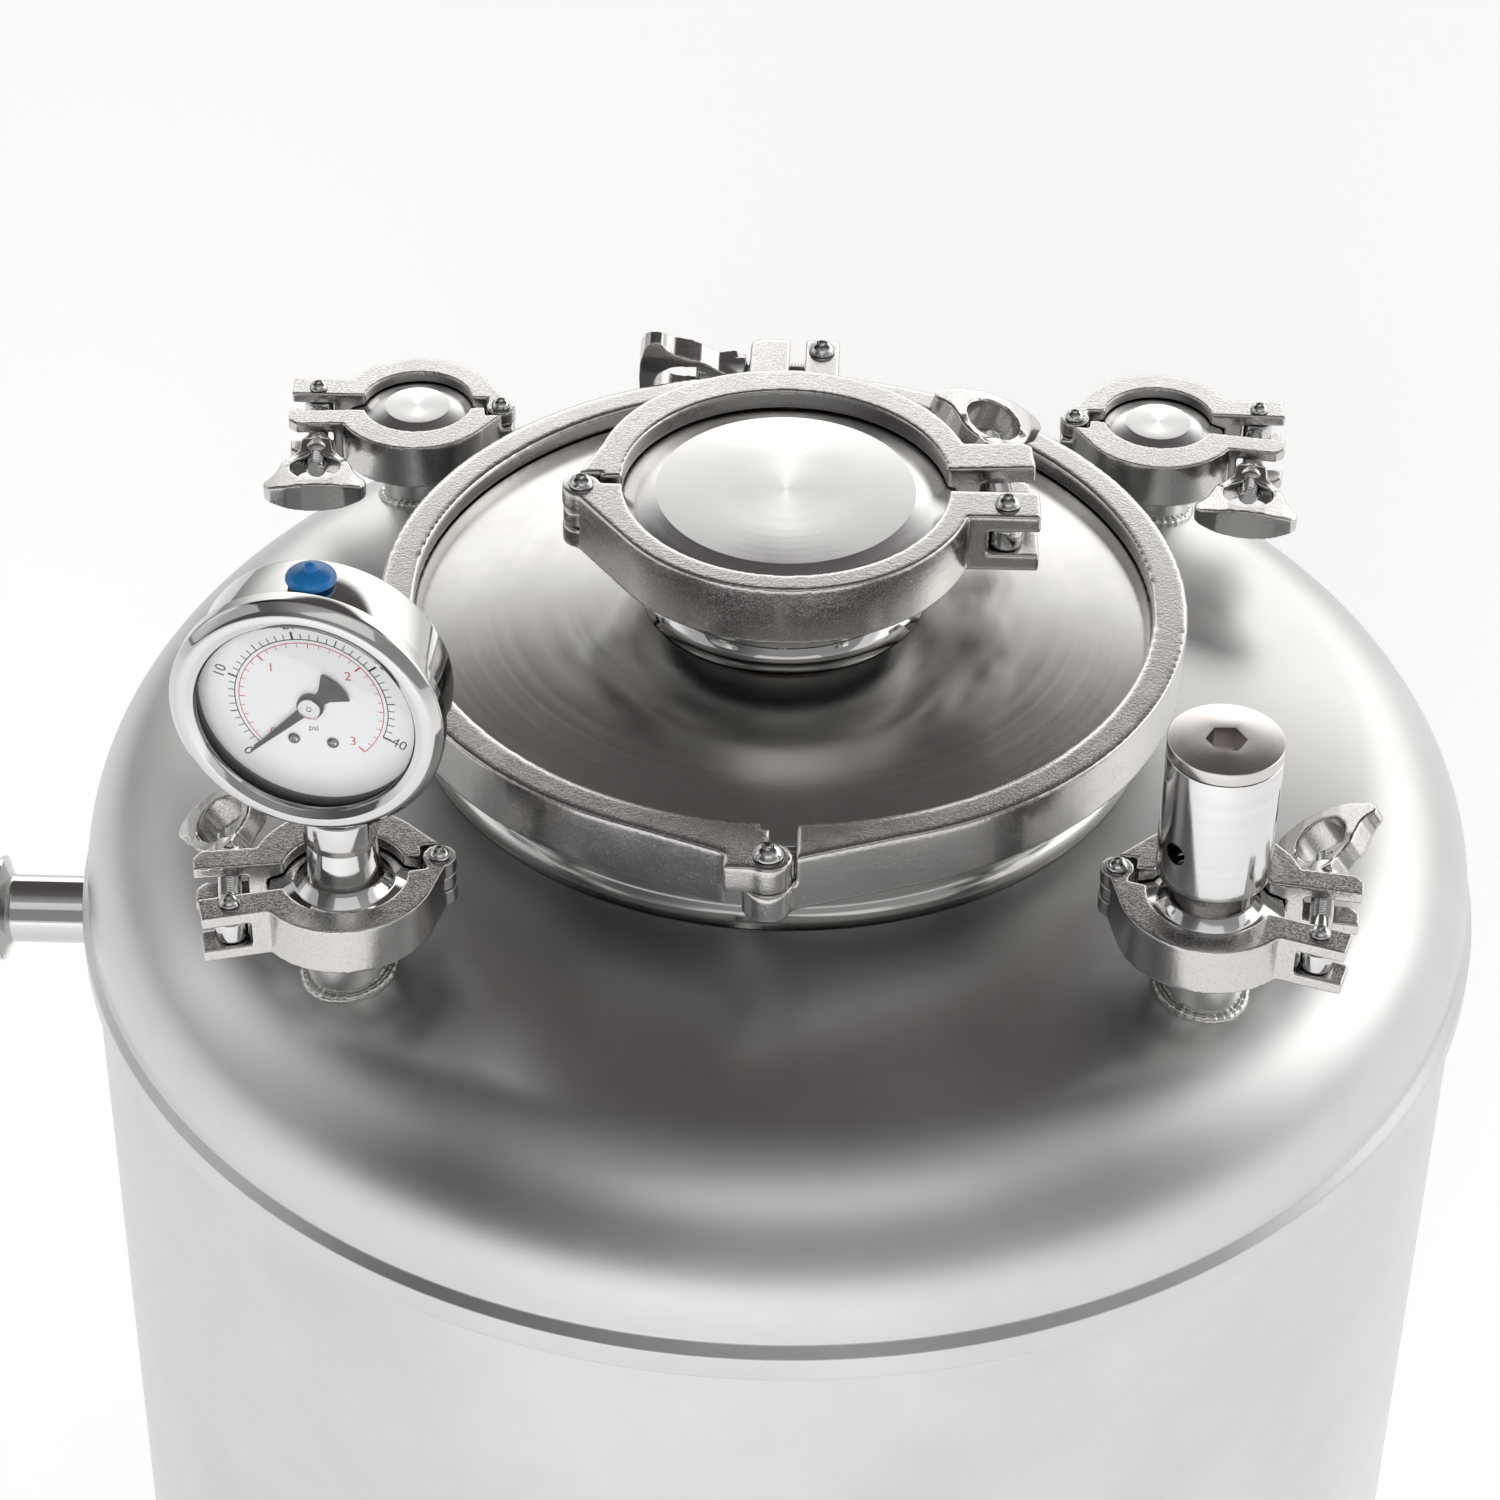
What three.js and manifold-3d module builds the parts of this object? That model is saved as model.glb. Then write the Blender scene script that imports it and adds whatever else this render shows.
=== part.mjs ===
// Stainless steel pressure pot with a clamped manhole lid, four clamped ports and a bare side port.
// Millimetres, +Z up. The origin is on the vessel's axis, on the floor; the gauge and relief valve face -Y.
import * as THREE from 'three';
import { mergeVertices } from 'three/addons/utils/BufferGeometryUtils.js';
import Module from 'manifold-3d';

const wasm = await Module();
wasm.setup();

// ---------------------------------------------------------------- driving dimensions

// Vessel
const shellRadius = 255.5;
const sheet = 2.8;
const topSeam = 470; // height of the lower edge of the top head's band
const bottomSeam = 128; // height of the upper edge of the bottom head's band
const bandHeight = 9.6;
const joggleHeight = 4.2;
const flangeStraight = 20; // straight flange of each head, from its band's edge
const knuckleRadius = 55;
const crownRadius = 1100;
const skirtRadius = 232;
const drainHoleRadius = 7;
const basePlateOverhang = 8;
const basePlateThickness = 6;

// Clamp joints: every flange has the same rim, the same taper and a flat gasket
const taper = Math.tan(THREE.MathUtils.degToRad(20));
const gasketThickness = 1.4;
const rimThickness = 1.6;
const throatStep = 1.6; // the small step between a tube and its flange's taper
const lidRimLip = 3; // from the flange's edge in to where the lid's dome starts

// Manhole neck and lid
const mainTubeRadius = 127;
const mainTubeWall = 3;
const mainFlangeRadius = 134;
const mainTubeReach = 8; // how far the tube runs past the inside of the head
const mainFoot = { spread: 6, height: 6 }; // the flared foot round the tube
const mainNeckRise = 34; // from the head's surface at the tube to the clamp's middle
const lidSheet = 2.6;
const lidCrownRadius = 860;
const lidTubeRadius = 44.45;
const lidTubeWall = 2;
const lidTubeReach = 4; // how far the tube runs past the inside of the lid
const lidFoot = { spread: 6.5, height: 8 };
const capFlangeRadius = 59.5;
const lidNeckRise = 35.1; // from the lid's surface at the tube to the clamp's middle
const capFlatRadius = 45.7;

// Ports in the head
const portInset = 52.5; // from the shell's outside to the ports' pitch circle
const portTubeRadius = 14.5;
const portTubeWall = 1.65;
const portTubeReach = 6; // how far each tube runs past the inside of the head
const portFlangeRadius = 25.25;
const portRise = 31.8; // from the head's surface at the port to the clamp's middle
const blankFlatRadius = 12.5;

// Side port
const sideTubeRadius = 12.9;
const sideTubeWall = 1.7;
const sideFlangeRadius = 20;
const sidePortDrop = 24; // below the top seam
const sidePortReach = 39.5; // from the shell's outside to the port's face
const sideTubeReach = 5; // how far the tube runs past the inside of the shell

// Gauge
const gaugeCaseRadius = 42;
const gaugeCaseDepth = 24;
const gaugeBezelWidth = 9.3;
const gaugeTurn = -9; // degrees about the port's axis
const gaugeRise = 84; // from the clamp's middle to the dial's centre
const gaugeOffset = -5; // from the port's axis sideways to the dial's centre
const gaugeForward = 18.4; // from the port's axis to the bezel's front
const stemRadius = 13;

// Relief valve
const reliefRadius = 19.15;
const reliefRise = 73; // from the clamp's middle to the valve's top
const reliefCapHeight = 4.8;
const reliefBore = 12;
const reliefSeatBore = 6.5;
const hexAcrossFlats = 12;

// Gaps
const fitGap = 0.3; // between pieces that touch or are welded together
const grooveGap = 0.4; // between a flange's rim and its clamp
const pinGap = 0.3; // round a pin in its hole
const slotGap = 0.6; // over and under a swing bolt in its slot
const eyeGap = 0.2; // over and under a swing bolt's eye in its slot
const hingeGap = 0.6; // round a hinge lobe in the other half
const nutGapRound = 0.8; // round a wing nut's boss in its spot face

// Sizes of the three clamps, in each clamp's own frame: hinge at -X, ears at +X, swing bolt along +Y.
// The half below the split carries the bolt's pivot pin. The half above it takes the bolt in its slot,
// and stands open about the hinge by the clamp's opening angle, as far as the gasket holds it.
const mainClamp = {
  flange: mainFlangeRadius, lipOverlap: 2.2, wall: 10, half: 11.25, sides: 32,
  hingeOut: 5.3, hingeBack: 0, hingeLobe: 8.5, hingePin: 3, lower: -3, upper: 3, lap: 13.8,
  pivotOut: 17, pivotBack: 9.3, earLength: 8.4, earBack: 16.3, earFront: 18.5,
  bolt: 4.8, barrel: 7.2, pivotPin: 3.2, nutScale: 1.15, nutGap: 1.5,
};
const capClamp = {
  flange: capFlangeRadius, lipOverlap: 2.0, wall: 7, half: 11.35, sides: 24,
  hingeOut: 4.9, hingeBack: 5.5, hingeLobe: 6.8, hingePin: 2.6, lower: -4.2, upper: -0.6, lap: 0,
  pivotOut: 10.7, pivotBack: 12.3, earLength: 11.5, earBack: 20, earFront: 16,
  bolt: 4.2, barrel: 6.2, pivotPin: 2.8, nutScale: 1.08, nutGap: 1.6,
};
const portClamp = {
  flange: portFlangeRadius, lipOverlap: 4.2, wall: 5.6, half: 9, sides: 20,
  hingeOut: 1.6, hingeBack: -2, hingeLobe: 5.6, hingePin: 2.2, lower: -3.6, upper: 2.8, lap: 0,
  pivotOut: 8.4, pivotBack: 8, earLength: 10, earBack: 14.6, earFront: 12.4,
  bolt: 4, barrel: 5.6, pivotPin: 2.2, nutScale: 1, nutGap: 1.8,
};

// How each clamp stands: its turn about its own axis, its opening angle and its wing nut's roll, degrees.
const clampStands = {
  lid: { turn: 88.8, opening: 0, roll: 67, flipped: false },
  cap: { turn: 0, opening: 4.2, roll: 20, flipped: false },
  front_left: { turn: 194.5, opening: 6.5, roll: 35, flipped: true },
  front_right: { turn: -18.7, opening: 10, roll: -35, flipped: false },
  rear_left: { turn: 180, opening: 4, roll: 0, flipped: false },
  rear_right: { turn: -1.6, opening: 7, roll: 0, flipped: true },
};

const vesselSides = 32;
const tubeSides = 16;
const dialSides = 24;
const boltSides = 12;
const pinSides = 8;

// ---------------------------------------------------------------- derived levels

const bandRadius = shellRadius + fitGap + sheet;
const portPitch = shellRadius - portInset;
const faceGap = gasketThickness / 2 + fitGap; // from a clamp's middle to a flange's face
const rimHalf = faceGap + rimThickness; // from a clamp's middle to the back of a rim

// Height of a head's surface above its seam at radius r; inset is 0 outside and the sheet inside.
function headHeight(r, inset = 0) {
  const cornerCentre = shellRadius - knuckleRadius;
  const corner = knuckleRadius - inset;
  const crown = crownRadius - inset;
  const span = crownRadius - knuckleRadius;
  const crownCentre = flangeStraight - Math.sqrt(span ** 2 - cornerCentre ** 2);
  const tangentRadius = (cornerCentre * crownRadius) / span;
  if (r > tangentRadius) {
    return flangeStraight + Math.sqrt(Math.max(0, corner ** 2 - (r - cornerCentre) ** 2));
  }
  return crownCentre + Math.sqrt(crown ** 2 - r ** 2);
}

const mainMiddle = topSeam + headHeight(mainTubeRadius) + mainNeckRise;
const lidRimInner = mainFlangeRadius - lidRimLip; // where the lid's dome starts
const lidEdge = mainMiddle + rimHalf + (mainFlangeRadius - lidRimInner) * taper;
const lidHeight = (r, inset = 0) => lidEdge - Math.sqrt(lidCrownRadius ** 2 - lidRimInner ** 2)
  + Math.sqrt((lidCrownRadius - inset) ** 2 - r ** 2);
const capMiddle = lidHeight(lidTubeRadius) + lidNeckRise;
const portMiddle = topSeam + headHeight(portPitch) + portRise;
const sidePortHeight = topSeam - sidePortDrop;

// ---------------------------------------------------------------- solids

// A closed geometry as a solid, turned to face outwards, without triangles that have shrunk to a line.
function toSolid(geometry) {
  const bare = geometry.clone();
  for (const name of ['normal', 'uv']) bare.deleteAttribute(name);
  const merged = mergeVertices(bare, 1e-4);
  const position = merged.attributes.position;
  const corners = [new THREE.Vector3(), new THREE.Vector3(), new THREE.Vector3()];
  const triangles = [];
  let volume = 0;
  for (let i = 0; i < merged.index.count; i += 3) {
    const [a, b, c] = [0, 1, 2].map((k) => merged.index.getX(i + k));
    if (a === b || b === c || c === a) continue;
    [a, b, c].forEach((vertex, k) => corners[k].fromBufferAttribute(position, vertex));
    volume += corners[0].dot(corners[1].cross(corners[2]));
    triangles.push(a, b, c);
  }
  if (volume < 0) triangles.reverse();
  return new wasm.Manifold(new wasm.Mesh({
    numProp: 3,
    vertProperties: new Float32Array(position.array),
    triVerts: new Uint32Array(triangles),
  }));
}

function toGeometry(solid) {
  const mesh = solid.getMesh();
  const geometry = new THREE.BufferGeometry();
  geometry.setAttribute('position', new THREE.BufferAttribute(new Float32Array(mesh.vertProperties), 3));
  geometry.setIndex(new THREE.BufferAttribute(new Uint32Array(mesh.triVerts), 1));
  geometry.computeVertexNormals();
  return geometry;
}

// A closed profile of [radius, height] points turned about the Z axis.
function lathe(profile, sides) {
  const points = profile.map(([r, z]) => new THREE.Vector2(r, z));
  if (profile[0][0] > 0) points.push(points[0].clone());
  return toSolid(new THREE.LatheGeometry(points, sides).rotateX(Math.PI / 2));
}

const cylinder = (r, low, high, sides, x = 0, y = 0) =>
  lathe([[0, low], [r, low], [r, high], [0, high]], sides).translate([x, y, 0]);

// The same, lying along +Y from y = from to y = to.
const barAlongY = (r, from, to, sides, x = 0) =>
  cylinder(r, from, to, sides).rotate([-90, 0, 0]).translate([x, 0, 0]);

const box = ([x0, x1], [y0, y1], [z0, z1]) =>
  toSolid(new THREE.BoxGeometry(x1 - x0, y1 - y0, z1 - z0)
    .translate((x0 + x1) / 2, (y0 + y1) / 2, (z0 + z1) / 2));

// An outline of [x, y] points, upright from one height to another.
function prism(outline, low, high) {
  const shape = new THREE.Shape(outline.map(([x, y]) => new THREE.Vector2(x, y)));
  return toSolid(new THREE.ExtrudeGeometry(shape, { depth: high - low, bevelEnabled: false, steps: 1 })
    .translate(0, 0, low));
}

const arc = (x, y, r, from, to, steps) => Array.from({ length: steps + 1 }, (_, i) => {
  const angle = THREE.MathUtils.degToRad(from + ((to - from) * i) / steps);
  return [x + r * Math.cos(angle), y + r * Math.sin(angle)];
});

// ---------------------------------------------------------------- assembly helpers

const pot = new THREE.Group();

function steel(color, roughness) {
  return new THREE.MeshStandardMaterial({ color, roughness, metalness: 1 });
}

const blastedSteel = () => steel(0xc9c9c7, 0.42);
const brushedSteel = () => steel(0xc4c2be, 0.25);
const castSteel = () => steel(0xb9b7b5, 0.22);
const polishedSteel = () => steel(0xd0d0ce, 0.1);
const plain = (color, roughness) => new THREE.MeshStandardMaterial({ color, roughness, metalness: 0 });

function place(parent, name, solid, material) {
  const mesh = new THREE.Mesh(toGeometry(solid), material);
  mesh.name = name;
  parent.add(mesh);
}

function groupAt(x, y, z, turn = 0) {
  const group = new THREE.Group();
  group.position.set(x, y, z);
  group.rotation.z = THREE.MathUtils.degToRad(turn);
  pot.add(group);
  return group;
}

// ---------------------------------------------------------------- heads, shell and base

// Outline of a dished head from its lapped band to an opening of the given radius, heights from its seam.
function headProfile(opening) {
  const cornerCentre = shellRadius - knuckleRadius;
  const knuckle = (inset) => arc(cornerCentre, flangeStraight, knuckleRadius - inset, 0, 75, 3);
  const crownRadii = [0.85, 0.4].map((share) => opening + (cornerCentre - opening) * share);
  const surface = (inset) => [
    ...knuckle(inset),
    ...crownRadii.map((r) => [r, headHeight(r, inset)]),
    [opening, headHeight(opening, inset)],
  ];
  const inner = shellRadius - sheet;
  return [
    [shellRadius + fitGap, 0],
    [bandRadius, 0],
    [bandRadius, bandHeight],
    [shellRadius, bandHeight + joggleHeight],
    ...surface(0),
    ...surface(sheet).reverse(),
    [inner, bandHeight + joggleHeight + fitGap],
    [shellRadius + fitGap, bandHeight + fitGap],
  ];
}

// A port's centre on the head, from the side and end it is at (-1 or 1 each).
const portCentre = (side, end) => [(side * portPitch) / Math.SQRT2, (end * portPitch) / Math.SQRT2];
const ports = [
  { name: 'front_left', side: -1, end: -1 },
  { name: 'front_right', side: 1, end: -1 },
  { name: 'rear_left', side: -1, end: 1 },
  { name: 'rear_right', side: 1, end: 1 },
];

function addVessel() {
  let topHead = lathe(headProfile(mainTubeRadius + fitGap), vesselSides);
  for (const port of ports) {
    const [x, y] = portCentre(port.side, port.end);
    topHead = topHead.subtract(cylinder(portTubeRadius + fitGap, 0, 2 * knuckleRadius, tubeSides, x, y));
  }
  place(pot, 'top_head', topHead.translate([0, 0, topSeam]), blastedSteel());

  const bottomProfile = headProfile(0).map(([r, z]) => [r, -z]);
  place(pot, 'bottom_head', lathe(bottomProfile, vesselSides).translate([0, 0, bottomSeam]), blastedSteel());

  const shellInner = shellRadius - sheet;
  const shellEnd = bandHeight - fitGap; // how far the shell reaches into each band
  const tube = lathe([
    [shellInner, bottomSeam - shellEnd], [shellRadius, bottomSeam - shellEnd],
    [shellRadius, topSeam + shellEnd], [shellInner, topSeam + shellEnd],
  ], vesselSides);
  const portHole = barAlongY(sideTubeRadius + fitGap, 0, shellRadius * 2, tubeSides)
    .rotate([0, 0, 90]).translate([0, 0, sidePortHeight]);
  place(pot, 'shell', tube.subtract(portHole), blastedSteel());

  const skirtInner = skirtRadius - sheet;
  const skirtTop = bottomSeam - headHeight(skirtInner) - fitGap;
  let skirt = lathe([
    [skirtInner, basePlateThickness + fitGap], [skirtRadius, basePlateThickness + fitGap],
    [skirtRadius, skirtTop], [skirtInner, skirtTop],
  ], vesselSides);
  const drainHeight = (basePlateThickness + skirtTop) / 2;
  for (const turn of [45, 135]) {
    skirt = skirt.subtract(barAlongY(drainHoleRadius, -skirtRadius * 2, skirtRadius * 2, pinSides)
      .rotate([0, 0, turn]).translate([0, 0, drainHeight]));
  }
  place(pot, 'skirt', skirt, blastedSteel());
  const plate = cylinder(skirtRadius + basePlateOverhang, 0, basePlateThickness, vesselSides);
  place(pot, 'base_plate', plate, blastedSteel());
}

// ---------------------------------------------------------------- clamped tubes, gaskets and caps

// A tube that ends in a clamp flange facing up; heights are from the clamp's middle.
function ferruleProfile(tube, wall, flange, low, foot = []) {
  const throat = tube + throatStep;
  return [
    [tube - wall, low], [tube, low],
    ...foot,
    [tube, -rimHalf - (flange - throat) * taper - throatStep],
    [throat, -rimHalf - (flange - throat) * taper],
    [flange, -rimHalf], [flange, -faceGap],
    [tube - wall, -faceGap],
  ];
}

// A weld or drawn foot round a tube, spreading over a surface whose height is given by a function.
function footProfile(tube, { spread, height }, surface) {
  return [
    [tube, surface(tube) + fitGap],
    [tube + spread, surface(tube + spread) + fitGap],
    [tube + spread * 0.4, surface(tube) + fitGap + height * 0.35],
    [tube, surface(tube) + fitGap + height],
  ];
}

const gasket = (inner, flange, sides) => lathe([
  [inner, -gasketThickness / 2], [flange, -gasketThickness / 2],
  [flange, gasketThickness / 2], [inner, gasketThickness / 2],
], sides);

// A turned blank cap: a flat disc that tapers out to a thin rim.
const blankCap = (flange, flat, sides) => lathe([
  [0, faceGap], [flange, faceGap], [flange, rimHalf],
  [flat, rimHalf + (flange - flat) * taper], [0, rimHalf + (flange - flat) * taper],
], sides);

function addManhole() {
  const neckLow = topSeam + headHeight(mainTubeRadius, sheet) - mainTubeReach;
  const headSurface = (r) => topSeam + headHeight(r) - mainMiddle;
  const neckFoot = footProfile(mainTubeRadius, mainFoot, headSurface);
  const neck = ferruleProfile(mainTubeRadius, mainTubeWall, mainFlangeRadius, neckLow - mainMiddle, neckFoot);
  const neckGroup = groupAt(0, 0, mainMiddle);
  place(neckGroup, 'main_neck', lathe(neck, vesselSides), brushedSteel());
  const mainGasket = gasket(mainTubeRadius - mainTubeWall, mainFlangeRadius, vesselSides);
  place(neckGroup, 'lid_gasket', mainGasket, plain(0xe8e6e0, 0.6));

  const hole = lidTubeRadius + fitGap;
  const seatInner = mainTubeRadius - mainTubeWall;
  const lidRadii = [seatInner, hole + (seatInner - hole) * 0.6];
  const lid = lathe([
    [mainFlangeRadius, mainMiddle + faceGap], [mainFlangeRadius, mainMiddle + rimHalf],
    [lidRimInner, lidEdge],
    ...lidRadii.map((r) => [r, lidHeight(r)]), [hole, lidHeight(hole)],
    [hole, lidHeight(hole, lidSheet)],
    ...lidRadii.slice(1).reverse().map((r) => [r, lidHeight(r, lidSheet)]),
    [seatInner, mainMiddle + faceGap],
  ], vesselSides);
  place(pot, 'lid', lid, brushedSteel());

  const capGroup = groupAt(0, 0, capMiddle);
  const lidSurface = (r) => lidHeight(r) - capMiddle;
  const lidNeckLow = lidHeight(lidTubeRadius, lidSheet) - lidTubeReach - capMiddle;
  const capFoot = footProfile(lidTubeRadius, lidFoot, lidSurface);
  const lidNeck = ferruleProfile(lidTubeRadius, lidTubeWall, capFlangeRadius, lidNeckLow, capFoot);
  place(capGroup, 'lid_neck', lathe(lidNeck, capClamp.sides), polishedSteel());
  const capSeal = gasket(lidTubeRadius - lidTubeWall, capFlangeRadius, capClamp.sides);
  place(capGroup, 'cap_gasket', capSeal, plain(0xe8e6e0, 0.6));
  place(capGroup, 'centre_cap', blankCap(capFlangeRadius, capFlatRadius, capClamp.sides), brushedSteel());
}

function addPort(port) {
  const [x, y] = portCentre(port.side, port.end);
  const group = groupAt(x, y, portMiddle);
  const low = topSeam + headHeight(portPitch + portTubeRadius, sheet) - portTubeReach - portMiddle;
  const ferrule = lathe(ferruleProfile(portTubeRadius, portTubeWall, portFlangeRadius, low), tubeSides);
  place(group, `${port.name}_port`, ferrule, brushedSteel());
  const seal = gasket(portTubeRadius - portTubeWall, portFlangeRadius, tubeSides);
  place(group, `${port.name}_gasket`, seal, plain(0xe8e6e0, 0.6));
  if (port.end > 0) {
    place(group, `${port.name}_cap`, blankCap(portFlangeRadius, blankFlatRadius, tubeSides), brushedSteel());
  }
}

function addSidePort() {
  const length = sidePortReach + sheet + sideTubeReach;
  const profile = ferruleProfile(sideTubeRadius, sideTubeWall, sideFlangeRadius, -length - faceGap)
    .map(([r, z]) => [r, z + faceGap]);
  const port = lathe(profile, tubeSides).rotate([90, 0, 0]).rotate([0, 0, -90]);
  const face = -shellRadius - sidePortReach;
  place(pot, 'side_port', port.translate([face, 0, sidePortHeight]), polishedSteel());
}

// ---------------------------------------------------------------- clamps

// Distances that follow from a clamp's sizes and its opening angle.
function clampLayout(c, opening) {
  const outer = c.flange + c.wall;
  const hinge = [-outer - c.hingeOut, -c.hingeBack];
  const pivot = [outer + c.pivotOut, -c.pivotBack];
  const angle = THREE.MathUtils.degToRad(opening);
  const [dx, dy] = [pivot[0] - hinge[0], pivot[1] - hinge[1]];
  return {
    outer,
    hinge,
    pivot,
    // the pivot as the open half sees it
    boltX: hinge[0] + dx * Math.cos(angle) + dy * Math.sin(angle),
    boltY: hinge[1] - dx * Math.sin(angle) + dy * Math.cos(angle),
    reach: pivot[0] + c.earLength,
    slotHalf: c.bolt + slotGap,
    nutFace: c.earFront + c.nutGap,
    nutBoss: Math.max(nutBossRadius * c.nutScale, c.bolt + nutBossWall),
    open: (solid) => solid.translate([-hinge[0], -hinge[1], 0]).rotate([0, 0, opening])
      .translate([hinge[0], hinge[1], 0]),
  };
}

// The space that the two flanges and their taper need inside the clamp.
function grooveSolid(c) {
  const lip = c.flange - c.lipOverlap;
  const root = c.flange + 3 * grooveGap;
  const opening = (r) => rimHalf + grooveGap + (c.flange - r) * taper;
  const past = c.half + 1;
  return lathe([
    [0, -past], [lip, -past], [lip, -opening(lip)], [root, -opening(root)],
    [root, opening(root)], [lip, opening(lip)], [lip, past], [0, past],
  ], c.sides);
}

// A pin with a domed head at each end, standing on Z; high is where its heads start.
const pinHeadHeight = 2;
const pinHeadTop = 0.7; // the flat top of a head against its full width
const pinSolid = (r, head, high) => lathe([
  [0, -high - pinHeadHeight], [head * pinHeadTop, -high - pinHeadHeight], [head, -high], [r, -high],
  [r, high], [head, high], [head * pinHeadTop, high + pinHeadHeight], [0, high + pinHeadHeight],
], pinSides);
const hingeHead = 1.7; // heads against their pins
const pivotHead = 1.6;
const earChamfer = 3; // off the outer corner of a latch half's ear

const hingePinSolid = (c, p, high) => pinSolid(c.hingePin, c.hingePin * hingeHead, high)
  .translate([p.hinge[0], p.hinge[1], 0]);

function clampHalves(c, p, pinApart) {
  const far = 2 * p.reach;
  const tall = c.half + 5;
  const [hingeX, hingeY] = p.hinge;
  const blend = THREE.MathUtils.degToRad(c.lap ? 24 : 34); // where the arms leave the ring
  const arm = [-p.outer * Math.cos(blend), p.outer * Math.sin(blend)];
  const lobe = arc(hingeX, hingeY, c.hingeLobe, 100, 260, 4);
  const ring = cylinder(p.outer, -c.half, c.half, c.sides)
    .add(prism([arm, ...lobe, [arm[0], -arm[1]]], -c.half, c.half));
  const groove = grooveSolid(c);
  const slotFrom = (x) => box([x - c.barrel - slotGap, far], [-far, far], [-p.slotHalf, p.slotHalf]);
  const pinHole = cylinder(c.hingePin + pinGap, -tall, tall, pinSides, hingeX, hingeY);
  const pivotHole = cylinder(c.pivotPin + pinGap, -tall, tall, pinSides, p.pivot[0], p.pivot[1]);

  // The pivot half's fork takes the latch half's tongue; a lap hinge has one finger over the other.
  const third = c.half / 3;
  const tongueLow = c.lap ? fitGap : -third + fitGap;
  const tongueHigh = c.lap ? c.half : third - fitGap;
  const notchLow = c.lap ? 0 : -third;
  const notchHigh = c.lap ? tall : third;
  const clear = c.hingeLobe + hingeGap;
  const ringInside = c.lap ? -c.flange + c.lipOverlap + 6 : hingeX + clear;
  const hingeSpace = [hingeX - clear, ringInside];
  const notch = box(hingeSpace, [hingeY - clear, tall + clear], [notchLow, notchHigh]);
  const rootHalf = c.hingeLobe * 0.9; // the web that ties the fork to its arm
  const root = box([hingeX - rootHalf, hingeX + rootHalf], [c.lower - 1, hingeY], [-c.half, c.half]);
  const fork = cylinder(c.hingeLobe, -c.half, c.half, pinSides, hingeX, hingeY).add(root);
  const pivotEar = prism([
    [0, -c.earBack], [p.reach, -c.earBack], [p.reach, c.lower], [0, c.lower],
  ], -c.half, c.half);
  const pivotHalf = ring.add(pivotEar).subtract(slotFrom(p.pivot[0]))
    .intersect(box([-far, far], [-far, c.lower], [-tall, tall]))
    .add(fork).subtract(notch).subtract(groove).subtract(pivotHole);

  const latchEar = prism([
    [0, c.upper], [p.reach, c.upper], [p.reach, c.earFront - earChamfer],
    [p.reach - earChamfer, c.earFront], [0, c.earFront],
  ], -c.half, c.half);
  const tongue = cylinder(c.hingeLobe - fitGap, tongueLow, tongueHigh, pinSides, hingeX, hingeY)
    .add(box(
      [hingeX - c.hingeLobe * 0.8, c.lap ? -c.flange - 1 : hingeX + rootHalf],
      [hingeY, Math.max(c.upper + c.hingeLobe, c.lap) + 1],
      [tongueLow, tongueHigh],
    ));
  const spotFace = barAlongY(p.nutBoss + nutGapRound, c.earFront, far, tubeSides, p.boltX);
  const forkSpace = c.lap
    ? box(hingeSpace, [-far, c.lap], [-tall, fitGap])
    : box(hingeSpace, [hingeY - clear, hingeY + clear], [-tall, tall]);
  const latchHalf = p.open(ring.add(latchEar).subtract(slotFrom(p.boltX))
    .intersect(box([-far, far], [c.upper, far], [-tall, tall])).subtract(spotFace)
    .subtract(forkSpace).add(tongue).subtract(pinHole)).subtract(groove);
  // The pin is either a piece of its own or riveted into the fork.
  const pinnedHalf = pinApart ? pivotHalf.subtract(pinHole) : pivotHalf.add(hingePinSolid(c, p, c.half));
  return { pivotHalf: pinnedHalf, latchHalf };
}

// Wing nut, in its own frame: face at y = 0, boss along +Y, a plate with an eye, ended by a thick bar.
const nutEye = 21.5; // from the face to the eye's middle, at scale 1
const nutEyeRadius = 9.4;
const nutLength = 36;
const nutBossRadius = 6.4;
const nutBossWall = 2.2; // the least wall round the thread
const nutHalfWidth = 19.5;
const nutPlan = [
  [5.4, 4], [6.4, 9], [11, 14], [13.6, 20], [15.2, 25], [nutHalfWidth, nutLength - 7.5],
  [nutHalfWidth - 1.5, nutLength - 3], [11, nutLength],
];
const nutEdge = [[nutHalfWidth + 1, 2.4], [7, 5.8]]; // half the plate's thickness across its width

// The swing bolt with its eye, its pivot pin and the pin's domed heads.
function swingBoltSolid(c, p) {
  const eye = c.bolt + eyeGap;
  const pin = pinSolid(c.pivotPin, c.pivotPin * pivotHead, c.half + fitGap).translate([p.boltX, p.boltY, 0]);
  const tip = p.nutFace + (nutEye - nutEyeRadius / 2) * c.nutScale;
  return p.open(cylinder(c.barrel, -eye, eye, pinSides, p.boltX, p.boltY)
    .add(barAlongY(c.bolt, p.boltY, tip, boltSides, p.boltX))
    .add(pin));
}

function wingNutSolid(c, p) {
  const s = c.nutScale;
  const mirror = (points) => [...points, ...points.map(([x, y]) => [-x, y]).reverse()];
  const plan = mirror(nutPlan).map(([x, y]) => [x * s, y * s]);
  const edge = [...nutEdge, ...nutEdge.map(([x, z]) => [-x, z]).reverse()];
  const section = [...edge, ...edge.map(([x, z]) => [x, -z]).reverse()].map(([x, z]) => [x * s, z * s]);
  const past = nutLength * s + 1;
  return prism(plan, -past, past)
    .intersect(prism(section, -past, past).rotate([90, 0, 0]))
    .add(barAlongY(p.nutBoss, 0, (nutEye - nutEyeRadius) * s, boltSides))
    .subtract(cylinder(nutEyeRadius * s, -past, past, boltSides, 0, nutEye * s))
    .subtract(barAlongY(c.bolt + pinGap, -1, nutEye * s, boltSides));
}

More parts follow.
